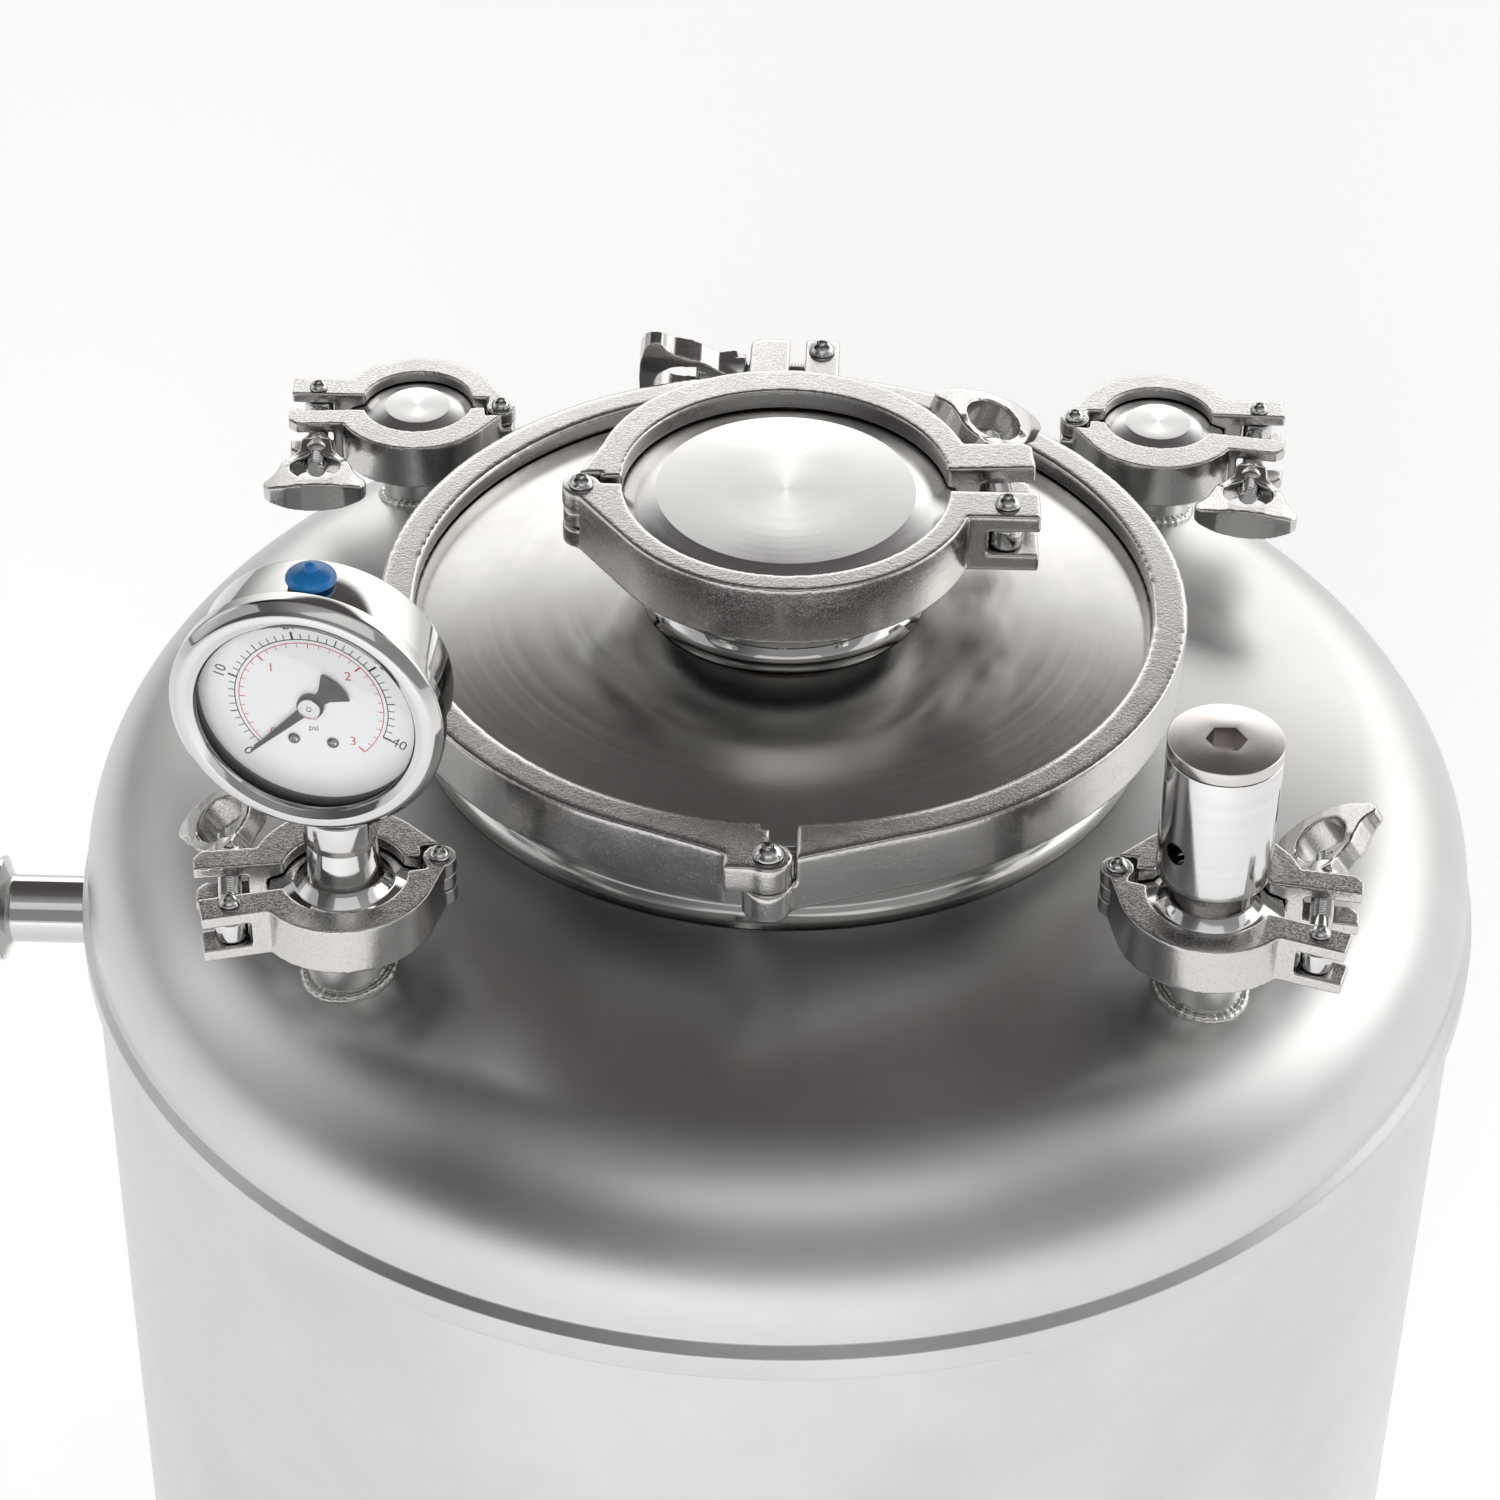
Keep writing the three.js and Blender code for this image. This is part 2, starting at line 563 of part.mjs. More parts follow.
// A flipped clamp is a true mirror image across its own XZ plane.
function addClamp(name, c, [x, y, z], pinApart) {
  const { turn, opening, roll, flipped } = clampStands[name];
  const p = clampLayout(c, opening);
  const group = groupAt(x, y, z, turn);
  const { pivotHalf, latchHalf } = clampHalves(c, p, pinApart);
  const facing = (solid) => (flipped ? solid.mirror([0, 1, 0]) : solid);
  place(group, `${name}_clamp_pivot_half`, facing(pivotHalf), castSteel());
  place(group, `${name}_clamp_latch_half`, facing(latchHalf), castSteel());
  place(group, `${name}_clamp_swing_bolt`, facing(swingBoltSolid(c, p)), polishedSteel());
  if (pinApart) {
    place(group, `${name}_clamp_hinge_pin`, facing(hingePinSolid(c, p, c.half + fitGap)), polishedSteel());
  }
  const nut = p.open(wingNutSolid(c, p).rotate([0, roll, 0]).translate([p.boltX, p.nutFace, 0]));
  place(group, `${name}_clamp_wing_nut`, facing(nut), castSteel());
}

// ---------------------------------------------------------------- gauge

// Solids of revolution about the dial's own axis: profile points are [radius, depth behind the bezel].
const dialLathe = (profile, sides) => lathe(profile, sides).rotate([-90, 0, 0])
  .translate([gaugeOffset, -gaugeForward, gaugeRise]);

function addGauge() {
  const [x, y] = portCentre(-1, -1);
  const group = groupAt(x, y, portMiddle, gaugeTurn);
  const bezelRadius = gaugeCaseRadius + 3;
  const bezelInner = bezelRadius - gaugeBezelWidth;
  const caseFront = 8;
  const caseWall = 1.2;
  const caseInner = gaugeCaseRadius - caseWall;
  const caseBack = caseFront + gaugeCaseDepth;
  const stemTop = gaugeRise - gaugeCaseRadius * 1.12;
  const neckRadius = stemRadius * 0.66;
  const bezelDepth = gaugeForward - neckRadius - 1; // the bezel stays clear of the socket's neck

  const caseBottom = gaugeRise - gaugeCaseRadius + caseWall * 0.7;
  const flats = stemRadius * 0.86; // half the width across the stem's wrench flats
  const stem = lathe([
    [0, faceGap], [portFlangeRadius, faceGap], [portFlangeRadius, rimHalf],
    [stemRadius + 3.5, rimHalf + (portFlangeRadius - stemRadius - 3.5) * taper],
    [stemRadius, rimHalf + 7], [stemRadius * 0.87, stemTop - 13],
    [stemRadius * 0.87, stemTop - 12], [stemRadius, stemTop - 12], [stemRadius, stemTop],
    [neckRadius, stemTop + 1], [neckRadius, caseBottom], [neckRadius / 2, caseBottom],
    [neckRadius / 2, caseBottom + 8], [0, caseBottom + 8],
  ], tubeSides);
  const bandLow = stemTop - 12.5;
  const past = stemRadius + 1;
  const cheeks = box([flats, past], [-past, past], [bandLow, stemTop + 2])
    .add(box([-past, -flats], [-past, past], [bandLow, stemTop + 2]));
  place(group, 'gauge_socket', stem.subtract(cheeks), polishedSteel());

  const plugRadius = 4.8;
  const plugY = -gaugeForward + caseFront + gaugeCaseDepth * 0.45;
  const cup = dialLathe([
    [caseInner, caseFront], [gaugeCaseRadius, caseFront],
    [gaugeCaseRadius, caseBack - 2], [gaugeCaseRadius - 2, caseBack], [0, caseBack],
    [0, caseBack - caseWall], [caseInner - 1.5, caseBack - caseWall],
    [caseInner, caseBack - caseWall - 1.5],
  ], dialSides)
    .subtract(cylinder(neckRadius + fitGap, 0, gaugeRise - gaugeCaseRadius + 9, tubeSides))
    .subtract(cylinder(
      plugRadius + fitGap, gaugeRise, gaugeRise + 2 * gaugeCaseRadius, tubeSides, gaugeOffset, plugY,
    ));
  place(group, 'gauge_case', cup, polishedSteel());

  const bezel = dialLathe([
    [bezelInner, 0], [bezelRadius - 4, 0], [bezelRadius, 4], [bezelRadius, bezelDepth],
    [gaugeCaseRadius + fitGap, bezelDepth], [gaugeCaseRadius + fitGap, 2.6], [bezelInner, 2.6],
  ], dialSides);
  place(group, 'gauge_bezel', bezel, polishedSteel());

  const glassRadius = gaugeCaseRadius - 2.4;
  const glass = dialLathe([[0, 3], [glassRadius, 3], [glassRadius, 5.4], [0, 5.4]], dialSides);
  place(group, 'gauge_window', glass, plain(0xffffff, 0.02));

  const shaftRadius = 1.5;
  const dialFront = 10.5;
  const dial = dialLathe([
    [shaftRadius + fitGap, dialFront], [caseInner - fitGap, dialFront], [caseInner - fitGap, dialFront + 1],
    [shaftRadius + fitGap, dialFront + 1],
  ], dialSides);
  place(group, 'gauge_dial', dial, plain(0xf6f6f4, 0.5));

  // The pointer lies at zero, towards the lower left of the dial, and turns clockwise.
  const blade = prism([
    [-1.3, 0], [-1.3, -9], [-4, -12], [-4, -14], [4, -14],
    [4, -12], [1.3, -9], [1.3, 0], [0.4, 29], [-0.4, 29],
  ], -0.5, 0.5).add(cylinder(5, -1.2, 0.5, 12)).add(cylinder(shaftRadius, -6, 0, 10));
  const pointer = blade.rotate([0, 0, 135]).rotate([90, 0, 0])
    .translate([gaugeOffset, -gaugeForward + dialFront - 1.6, gaugeRise]);
  place(group, 'gauge_pointer', pointer, plain(0x151515, 0.4));

  const plug = lathe([
    [0, -4], [plugRadius, -4], [plugRadius, 1.2], [plugRadius + 3.4, 1.2], [plugRadius + 3.4, 3.2],
    [plugRadius + 1, 5], [2.4, 5.6], [1.6, 7.6], [0, 8],
  ], boltSides).translate([gaugeOffset, plugY, gaugeRise + gaugeCaseRadius]);
  place(group, 'gauge_vent_plug', plug, plain(0x0d4f9e, 0.45));

  // The bourdon tube: a flattened C round the dial's axis, behind the dial.
  const tubeDepth = -gaugeForward + dialFront + 13;
  const coil = new THREE.CatmullRomCurve3(arc(0, 0, gaugeCaseRadius * 0.62, -60, 190, 16)
    .map(([cx, cz]) => new THREE.Vector3(gaugeOffset + cx, tubeDepth, gaugeRise + cz)));
  const section = new THREE.Shape(arc(0, 0, 3, 0, 315, 7).map(([sx, sy]) => new THREE.Vector2(sx, sy)));
  const bourdon = toSolid(new THREE.ExtrudeGeometry(section, { steps: 18, extrudePath: coil }));
  place(group, 'gauge_bourdon_tube', bourdon, steel(0xb08d57, 0.35));
}

// ---------------------------------------------------------------- relief valve

const reliefSeat = 21; // from the clamp's middle to the valve's seat
const ventTurn = 131; // degrees from the back round to the vent hole
const ventRise = 14; // from the seat to the vent hole's middle
const ventRadius = 4;
const plugDepth = 10; // how far the adjuster's plug reaches into the body
const springRadius = 8.6;
const springWire = 0.9;
const poppetHeight = 5;

function addReliefValve() {
  const [x, y] = portCentre(1, -1);
  const group = groupAt(x, y, portMiddle);
  const bodyTop = reliefRise - reliefCapHeight;
  const throat = reliefRadius * 0.75;
  let body = lathe([
    [reliefSeatBore, faceGap], [portFlangeRadius, faceGap], [portFlangeRadius, rimHalf],
    [throat + 3, rimHalf + (portFlangeRadius - throat - 3) * taper], [throat, rimHalf + 6.5],
    [throat, reliefSeat - 4], [reliefRadius, reliefSeat - 1], [reliefRadius, bodyTop - fitGap / 2],
    [reliefBore, bodyTop - fitGap / 2], [reliefBore, reliefSeat], [reliefSeatBore, reliefSeat],
  ], tubeSides);
  const vent = barAlongY(ventRadius, 0, 2 * reliefRadius, boltSides).rotate([0, 0, ventTurn]);
  body = body.subtract(vent.translate([0, 0, reliefSeat + ventRise]));
  place(group, 'relief_valve_body', body, polishedSteel());

  const plugLow = bodyTop - plugDepth;
  const plug = reliefBore - fitGap;
  const hexRadius = hexAcrossFlats / 2 / Math.cos(Math.PI / 6);
  const adjuster = lathe([
    [0, plugLow], [plug, plugLow], [plug, bodyTop + fitGap / 2],
    [reliefRadius, bodyTop + fitGap / 2], [reliefRadius, reliefRise - 1], [reliefRadius - 1, reliefRise],
    [0, reliefRise],
  ], tubeSides).subtract(prism(arc(0, 0, hexRadius, 0, 300, 5), reliefRise - 9, reliefRise + 1));
  place(group, 'relief_valve_adjuster', adjuster, polishedSteel());

  const poppetLow = reliefSeat + fitGap;
  const poppet = lathe([
    [0, poppetLow], [reliefBore - 1, poppetLow], [reliefBore - 1, poppetLow + poppetHeight],
    [springRadius - springWire - 1, poppetLow + poppetHeight],
    [springRadius - springWire - 1, poppetLow + poppetHeight + 5], [0, poppetLow + poppetHeight + 5],
  ], tubeSides);
  place(group, 'relief_valve_poppet', poppet, plain(0xdedbd2, 0.5));

  const springLow = poppetLow + poppetHeight + fitGap + springWire;
  const springHigh = plugLow - fitGap - springWire;
  const turns = 4;
  const steps = turns * 8;
  const helix = Array.from({ length: steps + 1 }, (_, i) => {
    const angle = (2 * Math.PI * i * turns) / steps;
    const height = springLow + ((springHigh - springLow) * i) / steps;
    return new THREE.Vector3(springRadius * Math.cos(angle), springRadius * Math.sin(angle), height);
  });
  const wire = new THREE.Shape(arc(0, 0, springWire, 0, 288, 4).map(([sx, sy]) => new THREE.Vector2(sx, sy)));
  const spring = toSolid(new THREE.ExtrudeGeometry(wire, {
    steps, extrudePath: new THREE.CatmullRomCurve3(helix),
  }));
  place(group, 'relief_valve_spring', spring, steel(0xa9a9a9, 0.3));
}

// ---------------------------------------------------------------- build

addVessel();
addManhole();
addSidePort();
addClamp('lid', mainClamp, [0, 0, mainMiddle], true);
addClamp('cap', capClamp, [0, 0, capMiddle], true);
for (const port of ports) {
  addPort(port);
  addClamp(port.name, portClamp, [...portCentre(port.side, port.end), portMiddle], false);
}
addGauge();
addReliefValve();

export default pot;
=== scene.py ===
import math

import bmesh
import bpy
from mathutils import Matrix, Vector


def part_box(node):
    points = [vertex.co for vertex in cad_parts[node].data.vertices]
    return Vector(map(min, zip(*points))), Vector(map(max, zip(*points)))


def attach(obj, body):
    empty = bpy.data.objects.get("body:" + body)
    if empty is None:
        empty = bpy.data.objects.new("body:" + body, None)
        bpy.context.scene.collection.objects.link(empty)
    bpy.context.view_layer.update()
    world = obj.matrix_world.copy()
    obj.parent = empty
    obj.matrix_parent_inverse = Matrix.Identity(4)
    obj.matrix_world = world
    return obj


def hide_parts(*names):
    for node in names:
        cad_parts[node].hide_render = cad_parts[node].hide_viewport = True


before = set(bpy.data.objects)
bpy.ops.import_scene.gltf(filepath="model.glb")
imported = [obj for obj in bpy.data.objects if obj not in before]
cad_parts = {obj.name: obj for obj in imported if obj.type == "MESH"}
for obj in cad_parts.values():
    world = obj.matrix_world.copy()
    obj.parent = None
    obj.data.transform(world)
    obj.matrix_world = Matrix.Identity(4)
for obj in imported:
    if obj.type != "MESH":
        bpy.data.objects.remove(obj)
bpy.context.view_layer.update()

# Every shape below is drawn in millimetres in its own frame, and placed in metres in the pot's frame.
MM = 0.001
TAPER = math.tan(math.radians(20))  # the slope of a clamp flange


# ---------------------------------------------------------------- measures from the frame

def low_of(node):
    return Vector(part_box(node)[0]) / MM


def high_of(node):
    return Vector(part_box(node)[1]) / MM


def middle_of(node):
    return (low_of(node) + high_of(node)) / 2


SEAM = low_of("top_head").z
BAND_RADIUS = high_of("top_head").x
SHELL_RADIUS = high_of("shell").x
SHEET = 2.8
FIT = 0.3  # the gap between pieces that bear on each other, and round a pin in its hole
BOTTOM_SEAM = high_of("bottom_head").z
FLANGE_STRAIGHT = 20
KNUCKLE = 55
CROWN = 1100
MAIN_MIDDLE = middle_of("lid_gasket")
CAP_MIDDLE = middle_of("cap_gasket")
MAIN_FLANGE = high_of("lid_gasket").x
CAP_FLANGE = high_of("cap_gasket").x
FACE_GAP = 1.0
RIM_HALF = 2.6
MAIN_TUBE, MAIN_WALL, MAIN_REACH = 127, 3, 8  # radius, wall, and how far it runs past the sheet inside
LID_TUBE, LID_WALL, LID_REACH = 44.45, 2, 4
LID_SHEET = 2.6
LID_RIM = 3  # from the flange's edge in to where the dome starts
CAP_FLAT, PORT_FLAT = 45.7, 12.5  # how far out the flat tops of the blank caps reach
LID_CROWN = 860
LID_EDGE = MAIN_MIDDLE.z + RIM_HALF + LID_RIM * TAPER
PORT_TUBE, PORT_WALL, PORT_FLANGE = 14.5, 1.65, 25.25
SIDE_TUBE, SIDE_WALL, SIDE_FLANGE = 12.9, 1.7, 20
THROAT_STEP = 1.6  # the small step between a tube and its flange's taper
BASE_PLATE = 6
DRAIN_HOLE = 7


def head_height(r, inset=0):
    """Height of a dished head's surface above its seam."""
    corner = SHELL_RADIUS - KNUCKLE
    span = CROWN - KNUCKLE
    centre = FLANGE_STRAIGHT - math.sqrt(span**2 - corner**2)
    if r > corner * CROWN / span:
        return FLANGE_STRAIGHT + math.sqrt(max(0, (KNUCKLE - inset) ** 2 - (r - corner) ** 2))
    return centre + math.sqrt((CROWN - inset) ** 2 - r**2)


def lid_height(r, inset=0):
    rim = MAIN_FLANGE - LID_RIM
    return LID_EDGE - math.sqrt(LID_CROWN**2 - rim**2) + math.sqrt((LID_CROWN - inset) ** 2 - r**2)


# ---------------------------------------------------------------- shapes: (points, faces) in millimetres

def full_turn(steps):
    """The angles of one full turn in even steps."""
    return [2 * math.pi * k / steps for k in range(steps)]


def on_circle(r, t):
    return r * math.cos(t), r * math.sin(t)


def arc(x, y, r, start, end, steps):
    """Points of an arc, angles in degrees."""
    turns = [math.radians(start + (end - start) * i / steps) for i in range(steps + 1)]
    return [(x + r * math.cos(t), y + r * math.sin(t)) for t in turns]


def eased(points, radius, closed=True, steps=3):
    """The outline with its corners rounded; a third number in a point is that corner's own radius."""
    result = []
    count = len(points)
    for i, point in enumerate(points):
        here = Vector(point[:2])
        own = point[2] if len(point) > 2 else radius
        if own <= 0 or (not closed and i in (0, count - 1)):
            result.append(here)
            continue
        back = Vector(points[i - 1][:2]) - here
        ahead = Vector(points[(i + 1) % count][:2]) - here
        half = back.angle(ahead) / 2
        reach = min(own / math.tan(half), back.length * 0.48, ahead.length * 0.48)
        start = here + back.normalized() * reach
        end = here + ahead.normalized() * reach
        for k in range(steps + 1):
            t = k / steps
            result.append(start * (1 - t) ** 2 + here * 2 * t * (1 - t) + end * t**2)
    return [tuple(p) for p in result]


def turned(profile, steps=96):
    """A profile of (radius, height) turned about Z. It starts and ends on the axis, or closes on itself."""
    points, rings = [], []
    for r, z in profile:
        if r < 1e-6:
            rings.append([len(points)])
            points.append((0, 0, z))
            continue
        rings.append(list(range(len(points), len(points) + steps)))
        points += [(*on_circle(r, t), z) for t in full_turn(steps)]
    pairs = list(zip(rings, rings[1:]))
    if len(rings[0]) > 1:
        pairs.append((rings[-1], rings[0]))
    faces = []
    for a, b in pairs:
        for k in range(steps):
            n = (k + 1) % steps
            if len(a) == 1 and len(b) > 1:
                faces.append((a[0], b[n], b[k]))
            elif len(b) == 1 and len(a) > 1:
                faces.append((a[k], a[n], b[0]))
            elif len(a) > 1:
                faces.append((a[k], a[n], b[n], b[k]))
    return points, faces


def prism(outline, low, high):
    """An outline of (x, y) points, upright from one height to another."""
    count = len(outline)
    points = [(x, y, z) for z in (low, high) for x, y in outline]
    sides = [(k, (k + 1) % count, (k + 1) % count + count, k + count) for k in range(count)]
    return points, [tuple(range(count))[::-1], tuple(range(count, 2 * count))] + sides


def block(xs, ys, zs):
    return prism([(xs[0], ys[0]), (xs[1], ys[0]), (xs[1], ys[1]), (xs[0], ys[1])], *zs)


def rod(r, low, high, steps=48):
    return turned([(0, low), (r, low), (r, high), (0, high)], steps)


def wrapped(rows, steps, closed=False):
    """Faces between rows of points that each go once round; closed joins the last row to the first."""
    faces = []
    for i in range(rows if closed else rows - 1):
        a, b = i * steps, (i + 1) % rows * steps
        faces += [(a + k, a + (k + 1) % steps, b + (k + 1) % steps, b + k) for k in range(steps)]
    return faces


def swept(path, radius, steps=10):
    """A closed ring of round wire along a closed path of points."""
    points = []
    count = len(path)
    for i, here in enumerate(path):
        along = (Vector(path[(i + 1) % count]) - Vector(path[i - 1])).normalized()
        side = along.cross(Vector((0, 0, 1))).normalized()
        up = side.cross(along)
        size = radius(i) if callable(radius) else radius
        for t in full_turn(steps):
            points.append(tuple(Vector(here) + (side * math.cos(t) + up * math.sin(t)) * size))
    return points, wrapped(count, steps, closed=True)


def threaded(r, low, high, pitch, depth, steps=32, rows=8):
    """A threaded rod on Z: its radius follows a thread form that climbs one pitch each turn."""
    count = max(2, int((high - low) / pitch * rows))
    points = []
    for i in range(count + 1):
        z = low + (high - low) * i / count
        ends = min(1, min(z - low, high - z) / pitch)
        for k, t in enumerate(full_turn(steps)):
            place = (z / pitch - k / steps) % 1
            cut = depth * min(1, max(0, 1.5 - 3 * abs(place - 0.5)))
            radius = (r - cut) * (1 - 0.12 * (1 - ends))
            points.append((*on_circle(radius, t), z))
    points += [(0, 0, low), (0, 0, high)]
    faces = wrapped(count + 1, steps)
    last, base, tip = count * steps, len(points) - 2, len(points) - 1
    for k in range(steps):
        n = (k + 1) % steps
        faces += [(base, n, k), (tip, last + k, last + n)]
    return points, faces


def moved(shape, matrix):
    return [tuple(matrix @ Vector(p)) for p in shape[0]], shape[1]


def joined(*shapes):
    points, faces = [], []
    for more_points, more_faces in shapes:
        faces += [tuple(i + len(points) for i in face) for face in more_faces]
        points += more_points
    return points, faces


def shift(x=0, y=0, z=0):
    return Matrix.Translation((x, y, z))


def turn(degrees, axis="Z"):
    return Matrix.Rotation(math.radians(degrees), 4, axis)


ALONG_Y = turn(-90, "X")  # lays a shape that stands on Z down along +Y


# ---------------------------------------------------------------- objects

def linked(name, data):
    """A new object in the scene."""
    thing = bpy.data.objects.new(name, data)
    bpy.context.scene.collection.objects.link(thing)
    return thing


def made(name, shape):
    """An object of that shape, in metres, still at the origin."""
    mesh = bpy.data.meshes.new(name)
    mesh.from_pydata([tuple(c * MM for c in p) for p in shape[0]], [], shape[1])
    mesh.validate()
    piece = linked(name, mesh)
    face_outwards(piece)
    return piece


def face_outwards(piece):
    work = bmesh.new()
    work.from_mesh(piece.data)
    bmesh.ops.recalc_face_normals(work, faces=work.faces)
    work.to_mesh(piece.data)
    work.free()


def bake_modifiers(piece):
    graph = bpy.context.evaluated_depsgraph_get()
    mesh = bpy.data.meshes.new_from_object(piece.evaluated_get(graph))
    piece.modifiers.clear()
    old, piece.data = piece.data, mesh
    bpy.data.meshes.remove(old)


def combined(piece, shapes, way="DIFFERENCE"):
    """The piece with each shape cut from it, or joined to it with way="UNION"."""
    for shape in shapes:
        tool = made("tool", shape)
        step = piece.modifiers.new("step", "BOOLEAN")
        step.operation = way
        step.solver = "MANIFOLD"
        step.object = tool
        bake_modifiers(piece)
        mesh = tool.data
        bpy.data.objects.remove(tool)
        bpy.data.meshes.remove(mesh)
    return piece


def cast(piece, grain, passes):
    """Softens every edge the way a polished casting's edges are soft: small even faces, then smoothing."""
    skin = piece.modifiers.new("skin", "REMESH")
    skin.mode = "VOXEL"
    skin.voxel_size = grain * MM
    ease = piece.modifiers.new("ease", "SMOOTH")
    ease.factor = 0.5
    ease.iterations = passes
    bake_modifiers(piece)
    return piece


def shade(piece, angle=32):
    piece.data.shade_smooth()
    if angle:
        piece.data.set_sharp_from_angle(angle=math.radians(angle))
    return piece


def copied(piece, name):
    twin = piece.copy()
    twin.data = piece.data.copy()
    twin.name = name
    bpy.context.scene.collection.objects.link(twin)
    return twin


def in_metres(matrix):
    scaled = matrix.copy()
    scaled.translation = scaled.translation * MM
    return scaled


def install(piece, place, material, slot, body, *nodes):
    """Puts a piece in its place in the pot, with its finish, its body and the nodes it stands for."""
    piece.matrix_world = in_metres(place)
    piece.data.materials.clear()
    piece.data.materials.append(material)
    if nodes:
        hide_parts(*nodes)
    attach(piece, body)
    return piece


def fitted(name, shape, place, metal, slot, cuts=(), angle=32):
    """A fixed piece, with shapes cut from it, that stands for the node of its own name."""
    piece = combined(made(name, shape), cuts)
    return install(shade(piece, angle), place, metal, slot, "vessel", name)


# ---------------------------------------------------------------- node groups for finishes

class Net:
    """A short way to write a node tree."""

    def __init__(self, tree):
        self.tree = tree

    def node(self, kind, **settings):
        made_node = self.tree.nodes.new(kind)
        for key, value in settings.items():
            setattr(made_node, key, value)
        return made_node

    def link(self, source, target):
        self.tree.links.new(source, target)

    def put(self, target, value):
        if isinstance(value, bpy.types.NodeSocket):
            self.link(value, target)
        else:
            target.default_value = value

    def math(self, how, a, b=0.0):
        step = self.node("ShaderNodeMath", operation=how)
        self.put(step.inputs[0], a)
        self.put(step.inputs[1], b)
        return step.outputs[0]

    def noise(self, vector, scale, detail=2.0, rough=0.5, dimensions="3D"):
        step = self.node("ShaderNodeTexNoise", noise_dimensions=dimensions)
        if dimensions == "1D":
            self.put(step.inputs["W"], vector)
        else:
            self.link(vector, step.inputs["Vector"])
        self.put(step.inputs["Scale"], scale)
        self.put(step.inputs["Detail"], detail)
        self.put(step.inputs["Roughness"], rough)
        return step.outputs["Fac"]

    def spread(self, value, low, high, to_low=0.0, to_high=1.0):
        step = self.node("ShaderNodeMapRange")
        self.link(value, step.inputs["Value"])
        limits = {"From Min": low, "From Max": high, "To Min": to_low, "To Max": to_high}
        for name, number in limits.items():
            self.put(step.inputs[name], number)
        return step.outputs["Result"]

    def blend(self, mask, a, b):
        step = self.node("ShaderNodeMix", data_type="RGBA")
        self.link(mask, step.inputs["Factor"])
        self.put(step.inputs["A"], a)
        self.put(step.inputs["B"], b)
        return step.outputs["Result"]


def group(name, inputs, outputs):
    """An empty node group with named number inputs and outputs."""
    tree = bpy.data.node_groups.new(name, "ShaderNodeTree")
    for label, start in inputs:
        socket = tree.interface.new_socket(label, in_out="INPUT", socket_type="NodeSocketFloat")
        socket.default_value = start
    for label in outputs:
        tree.interface.new_socket(label, in_out="OUTPUT", socket_type="NodeSocketFloat")
    net = Net(tree)
    return tree, net, net.node("NodeGroupInput").outputs, net.node("NodeGroupOutput").inputs


def build_blasted_grain():
    """Fine pits of a bead-blasted or pickled sheet, and broad soft patches."""
    tree, net, given, out = group("Blasted grain", [("Size", 0.5), ("Patch Size", 90.0)],
                                  ["Height", "Patches"])
    place = net.node("ShaderNodeTexCoord").outputs["Object"]
    scale = net.math("DIVIDE", 1000.0, given["Size"])
    fine = net.noise(place, scale, 3.0, 0.6)
    net.link(fine, out["Height"])
    patches = net.noise(place, net.math("DIVIDE", 1000.0, given["Patch Size"]), 4.0, 0.55)
    net.link(net.spread(patches, 0.3, 0.7), out["Patches"])
    return tree


def build_turning_lines():
    """Fine rings left by a lathe or a polishing wheel about a piece's own axis, of uneven depth."""
    tree, net, given, out = group("Turning lines", [("Ring Width", 0.25), ("Along Axis", 0.0)],
                                  ["Height", "Bands"])
    place = net.node("ShaderNodeTexCoord").outputs["Object"]
    parts = net.node("ShaderNodeSeparateXYZ")
    net.link(place, parts.inputs[0])
    square = net.math("ADD", net.math("MULTIPLY", parts.outputs["X"], parts.outputs["X"]),
                      net.math("MULTIPLY", parts.outputs["Y"], parts.outputs["Y"]))
    radius = net.math("SQRT", square)
    across = net.math("MULTIPLY", radius, net.math("SUBTRACT", 1.0, given["Along Axis"]))
    along = net.math("MULTIPLY", parts.outputs["Z"], given["Along Axis"])
    distance = net.math("ADD", across, along)
    fine = net.noise(distance, net.math("DIVIDE", 1000.0, given["Ring Width"]), 3.0, 0.7, "1D")
    wide = net.noise(distance, net.math("DIVIDE", 60.0, given["Ring Width"]), 3.0, 0.6, "1D")
    net.link(fine, out["Height"])
    net.link(net.spread(wide, 0.3, 0.7), out["Bands"])
    return tree


def build_cast_skin():
    """The rolling orange-peel surface of a polished casting, with finer pits in it."""
    tree, net, given, out = group("Cast skin", [("Peel Size", 1.6), ("Pit Size", 0.35)],
                                  ["Height", "Pits"])
    place = net.node("ShaderNodeTexCoord").outputs["Object"]
    peel = net.noise(place, net.math("DIVIDE", 1000.0, given["Peel Size"]), 2.0, 0.5)
    pits = net.noise(place, net.math("DIVIDE", 1000.0, given["Pit Size"]), 3.0, 0.65)
    sharp = net.spread(pits, 0.52, 0.72)
    net.link(net.math("SUBTRACT", peel, net.math("MULTIPLY", sharp, 0.35)), out["Height"])
    net.link(sharp, out["Pits"])
    return tree


def build_handling():
    """Faint smears and wiping marks that change the gloss."""
    tree, net, given, out = group("Handling marks", [("Size", 40.0)], ["Smears"])
    place = net.node("ShaderNodeTexCoord").outputs["Object"]
    stretch = net.node("ShaderNodeMapping")
    stretch.inputs["Scale"].default_value = (1.0, 1.0, 3.0)
    net.link(place, stretch.inputs["Vector"])
    smears = net.noise(stretch.outputs[0], net.math("DIVIDE", 1000.0, given["Size"]), 5.0, 0.65)
    net.link(net.spread(smears, 0.42, 0.7), out["Smears"])
    return tree


GRAIN = build_blasted_grain()
LINES = build_turning_lines()
SKIN = build_cast_skin()
MARKS = build_handling()


# ---------------------------------------------------------------- materials

